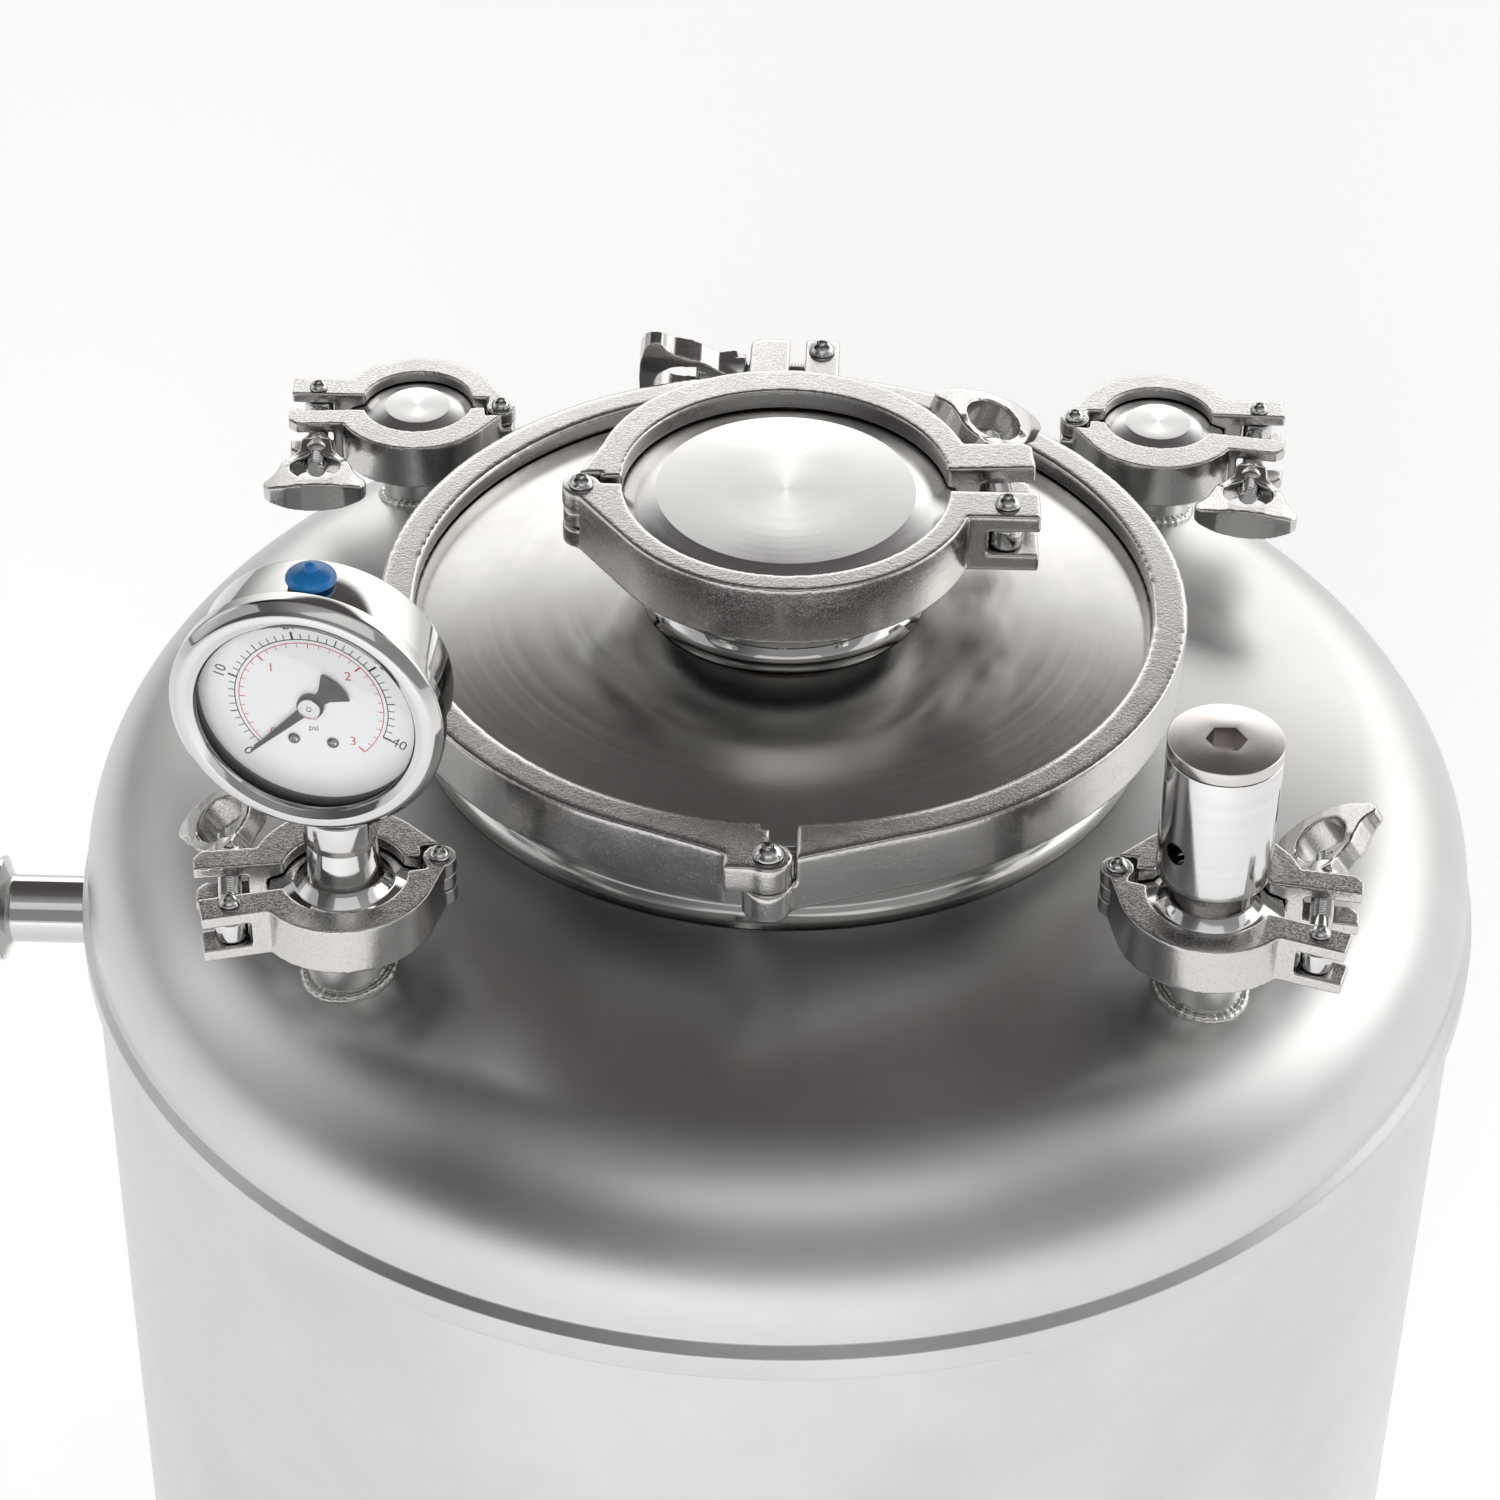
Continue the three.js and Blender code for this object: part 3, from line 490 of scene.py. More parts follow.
def finish(name, color, metallic, roughness):
    """A new material: its net, its Principled shader and itself."""
    material = bpy.data.materials.new(name)
    material.use_nodes = True
    net = Net(material.node_tree)
    shader = material.node_tree.nodes["Principled BSDF"]
    shader.inputs["Base Color"].default_value = (*color, 1.0)
    shader.inputs["Metallic"].default_value = metallic
    shader.inputs["Roughness"].default_value = roughness
    return net, shader, material


def use(net, tree, **values):
    step = net.node("ShaderNodeGroup", node_tree=tree)
    for label, value in values.items():
        step.inputs[label.replace("_", " ")].default_value = value
    return step.outputs


def bump(net, shader, height, depth):
    step = net.node("ShaderNodeBump")
    step.inputs["Distance"].default_value = depth * MM
    step.inputs["Strength"].default_value = 1.0
    net.link(height, step.inputs["Height"])
    net.link(step.outputs[0], shader.inputs["Normal"])


def blasted_steel():
    net, shader, material = finish("blasted steel", (0.62, 0.62, 0.61), 1.0, 0.33)
    grain = use(net, GRAIN, Size=0.55, Patch_Size=70.0)
    marks = use(net, MARKS, Size=55.0)
    mask = net.math("MULTIPLY", marks["Smears"], 0.5)
    tone = net.blend(grain["Patches"], (0.585, 0.583, 0.575, 1), (0.66, 0.66, 0.655, 1))
    net.link(tone, shader.inputs["Base Color"])
    smears = net.math("MULTIPLY", mask, 0.05)
    rough = net.math("ADD", net.spread(grain["Patches"], 0, 1, 0.30, 0.36), smears)
    net.link(rough, shader.inputs["Roughness"])
    bump(net, shader, grain["Height"], 0.012)
    return material


def turned_steel(name, color, roughness, anisotropy, ring=0.3, along=0.0, depth=0.0012):
    net, shader, material = finish(name, color, 1.0, roughness)
    lines = use(net, LINES, Ring_Width=ring, Along_Axis=along)
    marks = use(net, MARKS, Size=35.0)
    dark = tuple(c * 0.96 for c in color)
    net.link(net.blend(lines["Bands"], (*dark, 1), (*color, 1)), shader.inputs["Base Color"])
    rough = net.math("ADD", net.spread(lines["Bands"], 0, 1, roughness * 0.92, roughness * 1.08),
                     net.math("MULTIPLY", marks["Smears"], 0.05))
    net.link(rough, shader.inputs["Roughness"])
    shader.inputs["Anisotropic"].default_value = anisotropy
    if anisotropy:
        tangent = net.node("ShaderNodeTangent", direction_type="RADIAL", axis="Z")
        net.link(tangent.outputs[0], shader.inputs["Tangent"])
    bump(net, shader, lines["Height"], depth)
    return material


def cast_steel():
    net, shader, material = finish("polished casting", (0.54, 0.52, 0.51), 1.0, 0.2)
    skin = use(net, SKIN, Peel_Size=1.1, Pit_Size=0.4)
    marks = use(net, MARKS, Size=18.0)
    tone = net.blend(skin["Pits"], (0.6, 0.58, 0.57, 1), (0.36, 0.33, 0.32, 1))
    net.link(tone, shader.inputs["Base Color"])
    smears = net.math("MULTIPLY", marks["Smears"], 0.08)
    rough = net.math("ADD", net.spread(skin["Pits"], 0, 1, 0.12, 0.32), smears)
    net.link(rough, shader.inputs["Roughness"])
    bump(net, shader, skin["Height"], 0.04)
    return material


def polished_steel():
    net, shader, material = finish("mirror polished steel", (0.62, 0.615, 0.605), 1.0, 0.07)
    marks = use(net, MARKS, Size=22.0)
    net.link(net.spread(marks["Smears"], 0, 1, 0.05, 0.11), shader.inputs["Roughness"])
    skin = use(net, SKIN, Peel_Size=6.0, Pit_Size=1.2)
    bump(net, shader, skin["Height"], 0.006)
    return material


def weld_steel():
    net, shader, material = finish("weld bead", (0.6, 0.59, 0.57), 1.0, 0.22)
    skin = use(net, SKIN, Peel_Size=1.2, Pit_Size=0.5)
    tone = net.blend(skin["Pits"], (0.66, 0.65, 0.63, 1), (0.45, 0.4, 0.33, 1))
    net.link(tone, shader.inputs["Base Color"])
    bump(net, shader, skin["Height"], 0.09)
    return material


def smooth_stuff(name, color, roughness, depth=0.01, metallic=0.0, tint=0.9):
    """Paint, rubber and plastic: a slightly uneven surface and colour."""
    net, shader, material = finish(name, color, metallic, roughness)
    grain = use(net, GRAIN, Size=1.0, Patch_Size=12.0)
    marks = use(net, MARKS, Size=9.0)
    dark = tuple(c * tint for c in color)
    net.link(net.blend(grain["Patches"], (*dark, 1), (*color, 1)), shader.inputs["Base Color"])
    rough = net.spread(marks["Smears"], 0, 1, roughness, min(1, roughness * 1.25))
    net.link(rough, shader.inputs["Roughness"])
    bump(net, shader, grain["Height"], depth)
    return material


def window_glass():
    """Thin flat glass: clear, with a reflection that grows towards the edge of sight."""
    net, shader, material = finish("gauge window", (1.0, 1.0, 1.0), 0.0, 0.01)
    marks = use(net, MARKS, Size=14.0)
    gloss = net.node("ShaderNodeBsdfAnisotropic")
    net.link(net.spread(marks["Smears"], 0, 1, 0.0, 0.03), gloss.inputs["Roughness"])
    edge = net.node("ShaderNodeFresnel")
    edge.inputs["IOR"].default_value = 1.35
    mix = net.node("ShaderNodeMixShader")
    net.link(edge.outputs[0], mix.inputs[0])
    net.link(net.node("ShaderNodeBsdfTransparent").outputs[0], mix.inputs[1])
    net.link(gloss.outputs[0], mix.inputs[2])
    net.link(mix.outputs[0], material.node_tree.nodes["Material Output"].inputs["Surface"])
    material.node_tree.nodes.remove(shader)
    return material


BLASTED = blasted_steel()
LID_STEEL = turned_steel("lid brushed steel", (0.60, 0.585, 0.57), 0.2, 0.55, ring=0.35)
CAP_STEEL = turned_steel("cap turned steel", (0.78, 0.77, 0.765), 0.22, 0.8, ring=0.22, depth=0.0006)
TUBE_STEEL = turned_steel("tube brushed steel", (0.66, 0.655, 0.64), 0.16, 0.0, ring=0.3, along=1.0)
RELIEF_STEEL = turned_steel("relief valve steel", (0.70, 0.695, 0.685), 0.09, 0.0, ring=0.25, along=1.0,
                            depth=0.0008)
VALVE_TOP = turned_steel("relief valve top", (0.62, 0.59, 0.575), 0.16, 0.75, ring=0.25)
CAST = cast_steel()
POLISHED = polished_steel()
WELD = weld_steel()
SEAL = smooth_stuff("white seal", (0.85, 0.84, 0.8), 0.55)
DIAL_WHITE = smooth_stuff("dial enamel", (0.9, 0.905, 0.92), 0.4, depth=0.003, tint=0.99)
BLACK_INK = smooth_stuff("black ink", (0.012, 0.012, 0.014), 0.45, depth=0.002)
RED_INK = smooth_stuff("red ink", (0.62, 0.06, 0.07), 0.45, depth=0.002)
POINTER_BLACK = smooth_stuff("pointer paint", (0.02, 0.02, 0.023), 0.35, depth=0.004)
# black for the ring of painted shade under the gauge window, which stands for the bezel's shadow and
# reflection
BLACK_RUBBER = smooth_stuff("bezel shade black", (0.014, 0.014, 0.015), 0.5)
BLUE_RUBBER = smooth_stuff("blue rubber", (0.012, 0.17, 0.46), 0.25, depth=0.02, tint=0.8)
BRONZE = smooth_stuff("bronze", (0.55, 0.33, 0.16), 0.3, metallic=1.0)
SPRING = smooth_stuff("spring wire", (0.5, 0.5, 0.5), 0.25, metallic=1.0)
POPPET = smooth_stuff("valve disc", (0.82, 0.81, 0.77), 0.45)
GLASS = window_glass()


# ---------------------------------------------------------------- heads, shell and base

BAND_HEIGHT = 9.6
JOGGLE = 4.2
VESSEL_STEPS = 192
PORT_NAMES = ("front_left", "front_right", "rear_left", "rear_right")
PORT_MIDDLE = {name: middle_of(f"{name}_gasket") for name in PORT_NAMES}


def head_profile(opening):
    corner = SHELL_RADIUS - KNUCKLE

    def surface(inset):
        knuckle = arc(corner, FLANGE_STRAIGHT, KNUCKLE - inset, 0, 78, 20)
        radii = [corner + 10 - (corner + 10 - opening) * i / 10 for i in range(1, 11)]
        return knuckle + [(r, head_height(r, inset)) for r in radii]

    flat = [(*p, 0) for p in surface(0)]
    inner = [(*p, 0) for p in reversed(surface(SHEET))]
    inside = SHELL_RADIUS - SHEET
    lap = SHELL_RADIUS + FIT
    return eased([
        (lap, 0, 0.3), (BAND_RADIUS, 0, 1.0), (BAND_RADIUS, BAND_HEIGHT, 2.0),
        (SHELL_RADIUS, BAND_HEIGHT + JOGGLE, 3.0), *flat, *inner,
        (inside, BAND_HEIGHT + JOGGLE + FIT, 2.0), (lap, BAND_HEIGHT + FIT, 1.0),
    ], 0.5, steps=4)


def build_wall(node, ease, cuts):
    """A rolled sheet that stands upright, as wide and as tall as its node."""
    radius, low, high = high_of(node).x, low_of(node).z, high_of(node).z
    outline = [(radius - SHEET, low), (radius, low), (radius, high), (radius - SHEET, high)]
    fitted(node, turned(eased(outline, ease), VESSEL_STEPS), shift(), BLASTED, "blasted_steel", cuts)


def build_vessel():
    holes = [moved(rod(PORT_TUBE + FIT, 0, 150), shift(m.x, m.y)) for m in PORT_MIDDLE.values()]
    top = turned(head_profile(MAIN_TUBE + FIT), VESSEL_STEPS)
    fitted("top_head", top, shift(z=SEAM), BLASTED, "blasted_steel", holes)

    profile = [(0 if r < 0.01 else r, -z) for r, z in head_profile(0.001)]
    fitted("bottom_head", turned(profile, VESSEL_STEPS), shift(z=BOTTOM_SEAM), BLASTED, "blasted_steel")

    side_hole = moved(rod(SIDE_TUBE + FIT, 200, 300), shift(z=middle_of("side_port").z) @ turn(-90, "Y"))
    build_wall("shell", 0.4, [side_hole])

    level = (BASE_PLATE + high_of("skirt").z) / 2
    past = high_of("skirt").x + 20
    drains = [moved(rod(DRAIN_HOLE, -past, past), turn(angle) @ shift(z=level) @ ALONG_Y)
              for angle in (45, 135)]
    build_wall("skirt", 0.5, drains)

    radius, high = high_of("base_plate").x, high_of("base_plate").z
    plate = eased([(0, 0), (radius, 0), (radius, high), (0, high)], 1.5, False)
    fitted("base_plate", turned(plate, VESSEL_STEPS), shift(), BLASTED, "blasted_steel")
    build_base_weld()


def build_base_weld():
    radius = high_of("skirt").x
    path = [(*on_circle(radius, t), high_of("base_plate").z) for t in full_turn(240)]
    bead = made("skirt_weld", swept(path, 2.2))
    install(shade(bead), shift(), WELD, "blasted_steel", "vessel")


# ---------------------------------------------------------------- clamped tubes and caps

def ferrule(tube, wall, flange, low, foot=()):
    """A tube that ends in a clamp flange facing up; heights are from the clamp's middle."""
    throat = tube + THROAT_STEP
    return eased([
        (tube - wall, low, 0.2), (tube, low, 0.2), *foot,
        (tube, -RIM_HALF - (flange - throat) * TAPER - THROAT_STEP, 2.0),
        (throat, -RIM_HALF - (flange - throat) * TAPER, 1.0),
        (flange, -RIM_HALF, 0.5), (flange, -FACE_GAP, 0.3), (tube - wall, -FACE_GAP, 0.3),
    ], 0.4)


def foot(tube, spread, height, surface):
    """A drawn foot round a tube: a curve from the surface it stands on up to the tube."""
    start = surface(tube + spread) + FIT
    end = surface(tube) + FIT + height
    curve = [(tube + spread * (1 - t) ** 2.2, start + (end - start) * t ** 1.3, 0)
             for t in (i / 8 for i in range(9))]
    return [(tube, surface(tube) + FIT, 0), *curve]


def blank_cap(flange, flat):
    top = RIM_HALF + (flange - flat) * TAPER
    return eased([
        (0, FACE_GAP), (flange, FACE_GAP, 0.3), (flange, RIM_HALF, 0.4), (flat, top, 0.25),
        (flat / 2, top, 0), (0, top),
    ], 0.3, False)


def build_manhole():
    low = SEAM + head_height(MAIN_TUBE, SHEET) - MAIN_REACH - MAIN_MIDDLE.z
    surface = lambda r: SEAM + head_height(r) - MAIN_MIDDLE.z
    flare = foot(MAIN_TUBE, spread=6, height=6, surface=surface)
    neck = turned(ferrule(MAIN_TUBE, MAIN_WALL, MAIN_FLANGE, low, flare), VESSEL_STEPS)
    fitted("main_neck", neck, shift(z=MAIN_MIDDLE.z), TUBE_STEEL, "brushed_steel_turned")

    hole = LID_TUBE + FIT
    seat = MAIN_TUBE - MAIN_WALL
    radii = [seat - (seat - hole) * i / 12 for i in range(13)]
    z = MAIN_MIDDLE.z
    lid = turned(eased([
        (MAIN_FLANGE, z + FACE_GAP, 0.3), (MAIN_FLANGE, z + RIM_HALF, 0.4),
        (MAIN_FLANGE - LID_RIM, LID_EDGE, 2.0),
        *[(r, lid_height(r), 0) for r in radii],
        *[(r, lid_height(r, LID_SHEET), 0) for r in reversed(radii[1:])],
        (seat, z + FACE_GAP, 1.0),
    ], 0.4), VESSEL_STEPS)
    fitted("lid", moved(lid, shift(z=-z)), shift(z=z), LID_STEEL, "brushed_steel_turned")

    surface = lambda r: lid_height(r) - CAP_MIDDLE.z
    low = lid_height(LID_TUBE, LID_SHEET) - LID_REACH - CAP_MIDDLE.z
    flare = foot(LID_TUBE, spread=6.5, height=8, surface=surface)
    neck = turned(ferrule(LID_TUBE, LID_WALL, CAP_FLANGE, low, flare), 128)
    place = shift(z=CAP_MIDDLE.z)
    fitted("lid_neck", neck, place, POLISHED, "polished_steel")
    cap = turned(blank_cap(CAP_FLANGE, CAP_FLAT), 160)
    fitted("centre_cap", cap, place, CAP_STEEL, "brushed_steel_turned", angle=12)


def build_ports():
    for name, where in PORT_MIDDLE.items():
        low = low_of(f"{name}_port").z - where.z
        tube = turned(ferrule(PORT_TUBE, PORT_WALL, PORT_FLANGE, low), 64)
        fitted(f"{name}_port", tube, shift(*where), TUBE_STEEL, "brushed_steel_turned")
        if name.startswith("rear"):
            cap = turned(blank_cap(PORT_FLANGE, PORT_FLAT), 96)
            fitted(f"{name}_cap", cap, shift(*where), CAP_STEEL, "brushed_steel_turned", angle=12)
        build_port_weld(name, where)


def weld_radius(k):
    """A hand-laid bead: its ripples come at no even pace."""
    return 1.6 + 0.14 * math.sin(k * 1.31) + 0.1 * math.sin(k * 0.47 + 1) + 0.07 * math.sin(k * 2.3)


def build_port_weld(name, where):
    """The rippled bead where a port's tube meets the domed head."""
    path = []
    for t in full_turn(160):
        x, y = on_circle(PORT_TUBE + 0.6, t)
        reach = math.hypot(where.x + x, where.y + y)
        path.append((x, y, SEAM + head_height(reach) + 0.2 - where.z))
    bead = made(f"{name}_port_weld", swept(path, weld_radius))
    install(shade(bead, 0), shift(*where), WELD, "brushed_steel_turned", "vessel")


def build_side_port():
    low, high = low_of("side_port"), high_of("side_port")
    length = high.x - low.x
    shape = [(r, z + FACE_GAP) for r, z in ferrule(SIDE_TUBE, SIDE_WALL, SIDE_FLANGE, -length - FACE_GAP)]
    place = shift(low.x, 0, middle_of("side_port").z) @ turn(-90, "Y")
    fitted("side_port", turned(shape, 64), place, POLISHED, "polished_steel")
    path = []
    for t in full_turn(120):
        y, z = on_circle(SIDE_TUBE + 0.5, t)
        path.append((-math.sqrt(SHELL_RADIUS**2 - y**2) - 0.2, y, z))
    rings, faces = swept([(y, z, -x) for x, y, z in path], 1.4, 8)
    bead = made("side_port_weld", ([(-z, x, y) for x, y, z in rings], faces))
    install(shade(bead, 0), shift(z=middle_of("side_port").z), WELD, "polished_steel", "vessel")


# ---------------------------------------------------------------- clamps

SLOT_GAP = 0.6  # round a swing bolt in its slot
HINGE_GAP = 0.6  # round a hinge lobe in the other half
EYE_PAST = 0.2  # how far a swing bolt's eye stands past its shank, above and below
EAR_CHAMFER = 3
NUT_BOSS, NUT_WALL = 6.4, 2.2  # a wing nut's boss at scale 1, and the least wall round its thread
NUT_EYE, NUT_EYE_RADIUS, NUT_LENGTH = 21.5, 9.5, 36
NUT_TIP = 16.8  # from a wing nut's face to the end of its bolt
PIN_HEAD, HINGE_HEAD = 1.6, 1.7  # the heads of a pivot pin and a hinge pin against their pins


class Clamp:
    """The sizes of one kind of clamp in its own frame: hinge at -X, ears at +X, bolt along +Y."""

    def __init__(self, **sizes):
        self.__dict__.update(sizes)
        self.outer = self.flange + self.wall
        self.hinge = Vector((-self.outer - self.hinge_out, -self.hinge_back, 0))
        self.pivot = Vector((self.outer + self.pivot_out, -self.pivot_back, 0))
        self.slot_half = self.bolt + SLOT_GAP
        self.reach = self.pivot.x + self.ear_length
        self.nut_face = self.ear_front + self.nut_gap
        self.boss = max(NUT_BOSS * self.nut_scale, self.bolt + NUT_WALL)
        self.tall, self.far = self.half + 5, 2 * self.reach
        self.clear = self.hinge_lobe + HINGE_GAP
        inside = -self.flange + self.lip_overlap + 6 if self.lap else self.hinge.x + self.clear
        self.hinge_space = (self.hinge.x - self.clear, inside)

    def opened(self, degrees):
        """The turn of the latch half about the hinge."""
        return shift(*self.hinge) @ turn(degrees) @ shift(*-self.hinge)

    def bolt_point(self, degrees):
        """The bolt's pivot, as the latch half sees it."""
        return self.opened(degrees).inverted() @ self.pivot

    def hole(self, place, r):
        return moved(rod(r + FIT, -self.tall, self.tall), shift(*place))

    def slot_from(self, x):
        low = x - self.barrel - SLOT_GAP
        return block((low, self.far), (-self.far, self.far), (-self.slot_half, self.slot_half))

    def side(self, low, high):
        """All the space between two depths."""
        return block((-self.far, self.far), (low, high), (-self.tall, self.tall))


MAIN_CLAMP = Clamp(
    flange=MAIN_FLANGE, lip_overlap=2.2, wall=10, half=11.25, steps=160, hinge_out=5.3, hinge_back=0,
    hinge_lobe=8.5, hinge_pin=3, lower=-3, upper=3, lap=13.8, pivot_out=17, pivot_back=9.3, ear_length=8.4,
    ear_back=16.3, ear_front=18.5, bolt=4.8, barrel=7.2, pivot_pin=3.2, nut_scale=1.15, nut_gap=1.5,
    grain=1.0, passes=5,
)
CAP_CLAMP = Clamp(
    flange=CAP_FLANGE, lip_overlap=2.0, wall=7, half=11.35, steps=128, hinge_out=4.9, hinge_back=5.5,
    hinge_lobe=6.8, hinge_pin=2.6, lower=-4.2, upper=-0.6, lap=0, pivot_out=10.7, pivot_back=12.3,
    ear_length=11.5, ear_back=20, ear_front=16, bolt=4.2, barrel=6.2, pivot_pin=2.8, nut_scale=1.08,
    nut_gap=1.6, grain=0.7, passes=5,
)
PORT_CLAMP = Clamp(
    flange=PORT_FLANGE, lip_overlap=4.2, wall=5.6, half=9, steps=96, hinge_out=1.6, hinge_back=-2,
    hinge_lobe=5.6, hinge_pin=2.2, lower=-3.6, upper=2.8, lap=0, pivot_out=8.4, pivot_back=8, ear_length=10,
    ear_back=14.6, ear_front=12.4, bolt=4, barrel=5.6, pivot_pin=2.2, nut_scale=1, nut_gap=1.8,
    grain=0.5, passes=4,
)
# Each clamp's turn about its tube, how far it stands open, its nut's turn, and whether it is mirrored.
STANDS = {
    "lid": (MAIN_CLAMP, 88.8, 0, 67, False), "cap": (CAP_CLAMP, 0, 4.2, 20, False),
    "front_left": (PORT_CLAMP, 194.5, 6.5, 35, True), "front_right": (PORT_CLAMP, -18.7, 10, -35, False),
    "rear_left": (PORT_CLAMP, 180, 4, 0, False), "rear_right": (PORT_CLAMP, -1.6, 7, 0, True),
}


def groove(c):
    """The space that two flanges and their taper take up inside a clamp."""
    lip, root = c.flange - c.lip_overlap, c.flange + 1.2
    opening = lambda r: RIM_HALF + 0.4 + (c.flange - r) * TAPER
    past = c.half + 1
    return turned([
        (0, -past), (lip, -past), (lip, -opening(lip)), (root, -opening(root)),
        (root, opening(root)), (lip, opening(lip)), (lip, past), (0, past),
    ], c.steps)


def clamp_ring(c, ear):
    """A whole ring with its arms to the hinge and one ear, before it is cut down to a half."""
    blend = math.radians(24 if c.lap else 34)
    arm = (-c.outer * math.cos(blend), c.outer * math.sin(blend))
    lobe = arc(c.hinge.x, c.hinge.y, c.hinge_lobe, 100, 260, 4 if c.lap else 16)
    ring = made("clamp_ring", rod(c.outer, -c.half, c.half, c.steps))
    arms = prism([arm, *lobe, (arm[0], -arm[1])], -c.half, c.half)
    return combined(ring, [arms, prism(ear, -c.half, c.half)], "UNION")


def pivot_half(c):
    """The half that holds the swing bolt; its fork, or its lower finger, takes the hinge pin."""
    half = clamp_ring(c, [(0, -c.ear_back), (c.reach, -c.ear_back), (c.reach, c.lower), (0, c.lower)])
    combined(half, [c.slot_from(c.pivot.x)])
    combined(half, [c.side(-c.far, c.lower)], "INTERSECT")
    fork = moved(rod(c.hinge_lobe, -c.half, c.half), shift(*c.hinge))
    width = 0.9 * c.hinge_lobe
    root = block((c.hinge.x, c.hinge.x + width), sorted((c.lower - 1, c.hinge.y)), (-c.half, c.half))
    combined(half, [fork, root], "UNION")
    third = c.half / 3
    heights = (0, c.tall) if c.lap else (-third, third)
    notch = block(c.hinge_space, (c.hinge.y - c.clear, c.tall + c.clear), heights)
    combined(half, [notch, groove(c), c.hole(c.pivot, c.pivot_pin), c.hole(c.hinge, c.hinge_pin)])
    return shade(cast(half, c.grain, c.passes), 0)


def latch_half(c, opening):
    """The half that the nut bears on, standing open by so many degrees."""
    bolt_x = c.bolt_point(opening).x
    half = clamp_ring(c, [(0, c.upper), (c.reach, c.upper), (c.reach, c.ear_front - EAR_CHAMFER),
                          (c.reach - EAR_CHAMFER, c.ear_front), (0, c.ear_front)])
    combined(half, [c.slot_from(bolt_x)])
    combined(half, [c.side(c.upper, c.far)], "INTERSECT")
    spot_face = moved(rod(c.boss + 0.8, c.ear_front, c.far), shift(x=bolt_x) @ ALONG_Y)
    if c.lap:
        fork_space = block(c.hinge_space, (-c.far, c.lap), (-c.tall, FIT))
    else:
        fork_space = block(c.hinge_space, (c.hinge.y - c.clear, c.hinge.y + c.clear), (-c.tall, c.tall))
    combined(half, [spot_face, fork_space])
    low, high = (FIT, c.half) if c.lap else (FIT - c.half / 3, c.half / 3 - FIT)
    tongue = moved(rod(c.hinge_lobe - FIT, low, high), shift(*c.hinge))
    inner = -c.flange - 1 if c.lap else c.hinge.x + c.hinge_lobe * 0.9
    tail = block((c.hinge.x - c.hinge_lobe * 0.8, inner),
                 (c.hinge.y, max(c.upper + c.hinge_lobe, c.lap) + 1), (low, high))
    combined(half, [tongue, tail], "UNION")
    combined(half, [c.hole(c.hinge, c.hinge_pin)])
    half.data.transform(in_metres(c.opened(opening)))
    combined(half, [groove(c)])
    return shade(cast(half, c.grain, c.passes), 0)


def button_head(r, base, way):
    """A domed screw head with a hollow for a key, standing on base, up (way 1) or down (-1)."""
    top = r * 0.72
    dome = [(r * math.cos(t), top * math.sin(t)) for t in map(math.radians, (0, 15, 30, 45, 58))]
    hollow = [(r * 0.42, top * 0.92), (r * 0.38, top * 0.35), (0, top * 0.3)]
    points, faces = turned([(0, 0), (r, 0), *dome, *hollow], 24)
    return [(x, y, base + way * z) for x, y, z in points], faces


def pin_shape(r, head, high):
    """A pin on Z with a head at each end; high is where its heads start."""
    heads = [button_head(head, way * high, way) for way in (1, -1)]
    return joined(rod(r, -high - 0.2, high + 0.2, 32), *heads)


def swing_bolt_shape(c, point):
    eye = c.bolt + EYE_PAST
    tip = c.nut_face + NUT_TIP * c.nut_scale
    pin = pin_shape(c.pivot_pin, c.pivot_pin * PIN_HEAD, c.half + FIT)
    barrel = turned(eased([(0, -eye), (c.barrel, -eye), (c.barrel, eye), (0, eye)], 1.2, False), 48)
    shank_end = c.lower - 0.5
    to_bolt = shift(x=point.x) @ ALONG_Y
    shank = moved(rod(c.bolt, point.y, shank_end, 32), to_bolt)
    thread = moved(threaded(c.bolt, shank_end - 0.5, tip, 1.25, 0.62), to_bolt)
    return joined(*[moved(shape, shift(*point)) for shape in (pin, barrel)], shank, thread)


def wing_nut(c):
    """Face at y = 0: a boss, a plate with a round eye, and a thick bar across its end."""
    s = c.nut_scale
    half_plan = [(5.4, 3), (6.4, 9), (9, 12), (11.4, 15), (13.3, 19.5), (14.6, 23.6), (16.5, 26.4),
                 (18.8, 28), (19.5, 29.6), (19.2, 31.8), (17.4, 33.8), (11, 35.6), (5, 36)]
    plan = [(x * s, y * s) for x, y in half_plan + [(-x, y) for x, y in reversed(half_plan)]]
    half_edge = [(20.5, 2.3), (14, 4.3), (7, 5.7), (0, 6.1)]
    edge = [(x, z) for x, z in half_edge] + [(-x, z) for x, z in reversed(half_edge[:-1])]
    edge = [(x * s, z * s) for x, z in edge + [(x, -z) for x, z in reversed(edge)]]
    past = (NUT_LENGTH + 1) * s
    nut = made("wing_nut", prism(plan, -7 * s, 7 * s))
    combined(nut, [moved(prism(edge, -past, past), turn(90, "X"))], "INTERSECT")
    # the plate between boss and bar is thinner than the bar
    for side in (1, -1):
        scoop = moved(rod(20 * s, -25 * s, 25 * s, 96), shift(y=13 * s, z=side * 24 * s) @ turn(90, "Y"))
        combined(nut, [scoop])
    boss = turned(eased([(0, 0), (c.boss, 0), (c.boss * 0.94, 8.5 * s), (3 * s, 12 * s), (0, 12.1 * s)],
                        0.8, False), 48)
    combined(nut, [moved(boss, ALONG_Y)], "UNION")
    combined(nut, [moved(rod(NUT_EYE_RADIUS * s, -past, past), shift(y=NUT_EYE * s)),
                   moved(rod(c.bolt + FIT, -1, 18 * s), ALONG_Y)])
    return shade(cast(nut, 0.45 * s, 6), 0)


MIRROR = Matrix.Diagonal((1, -1, 1, 1))


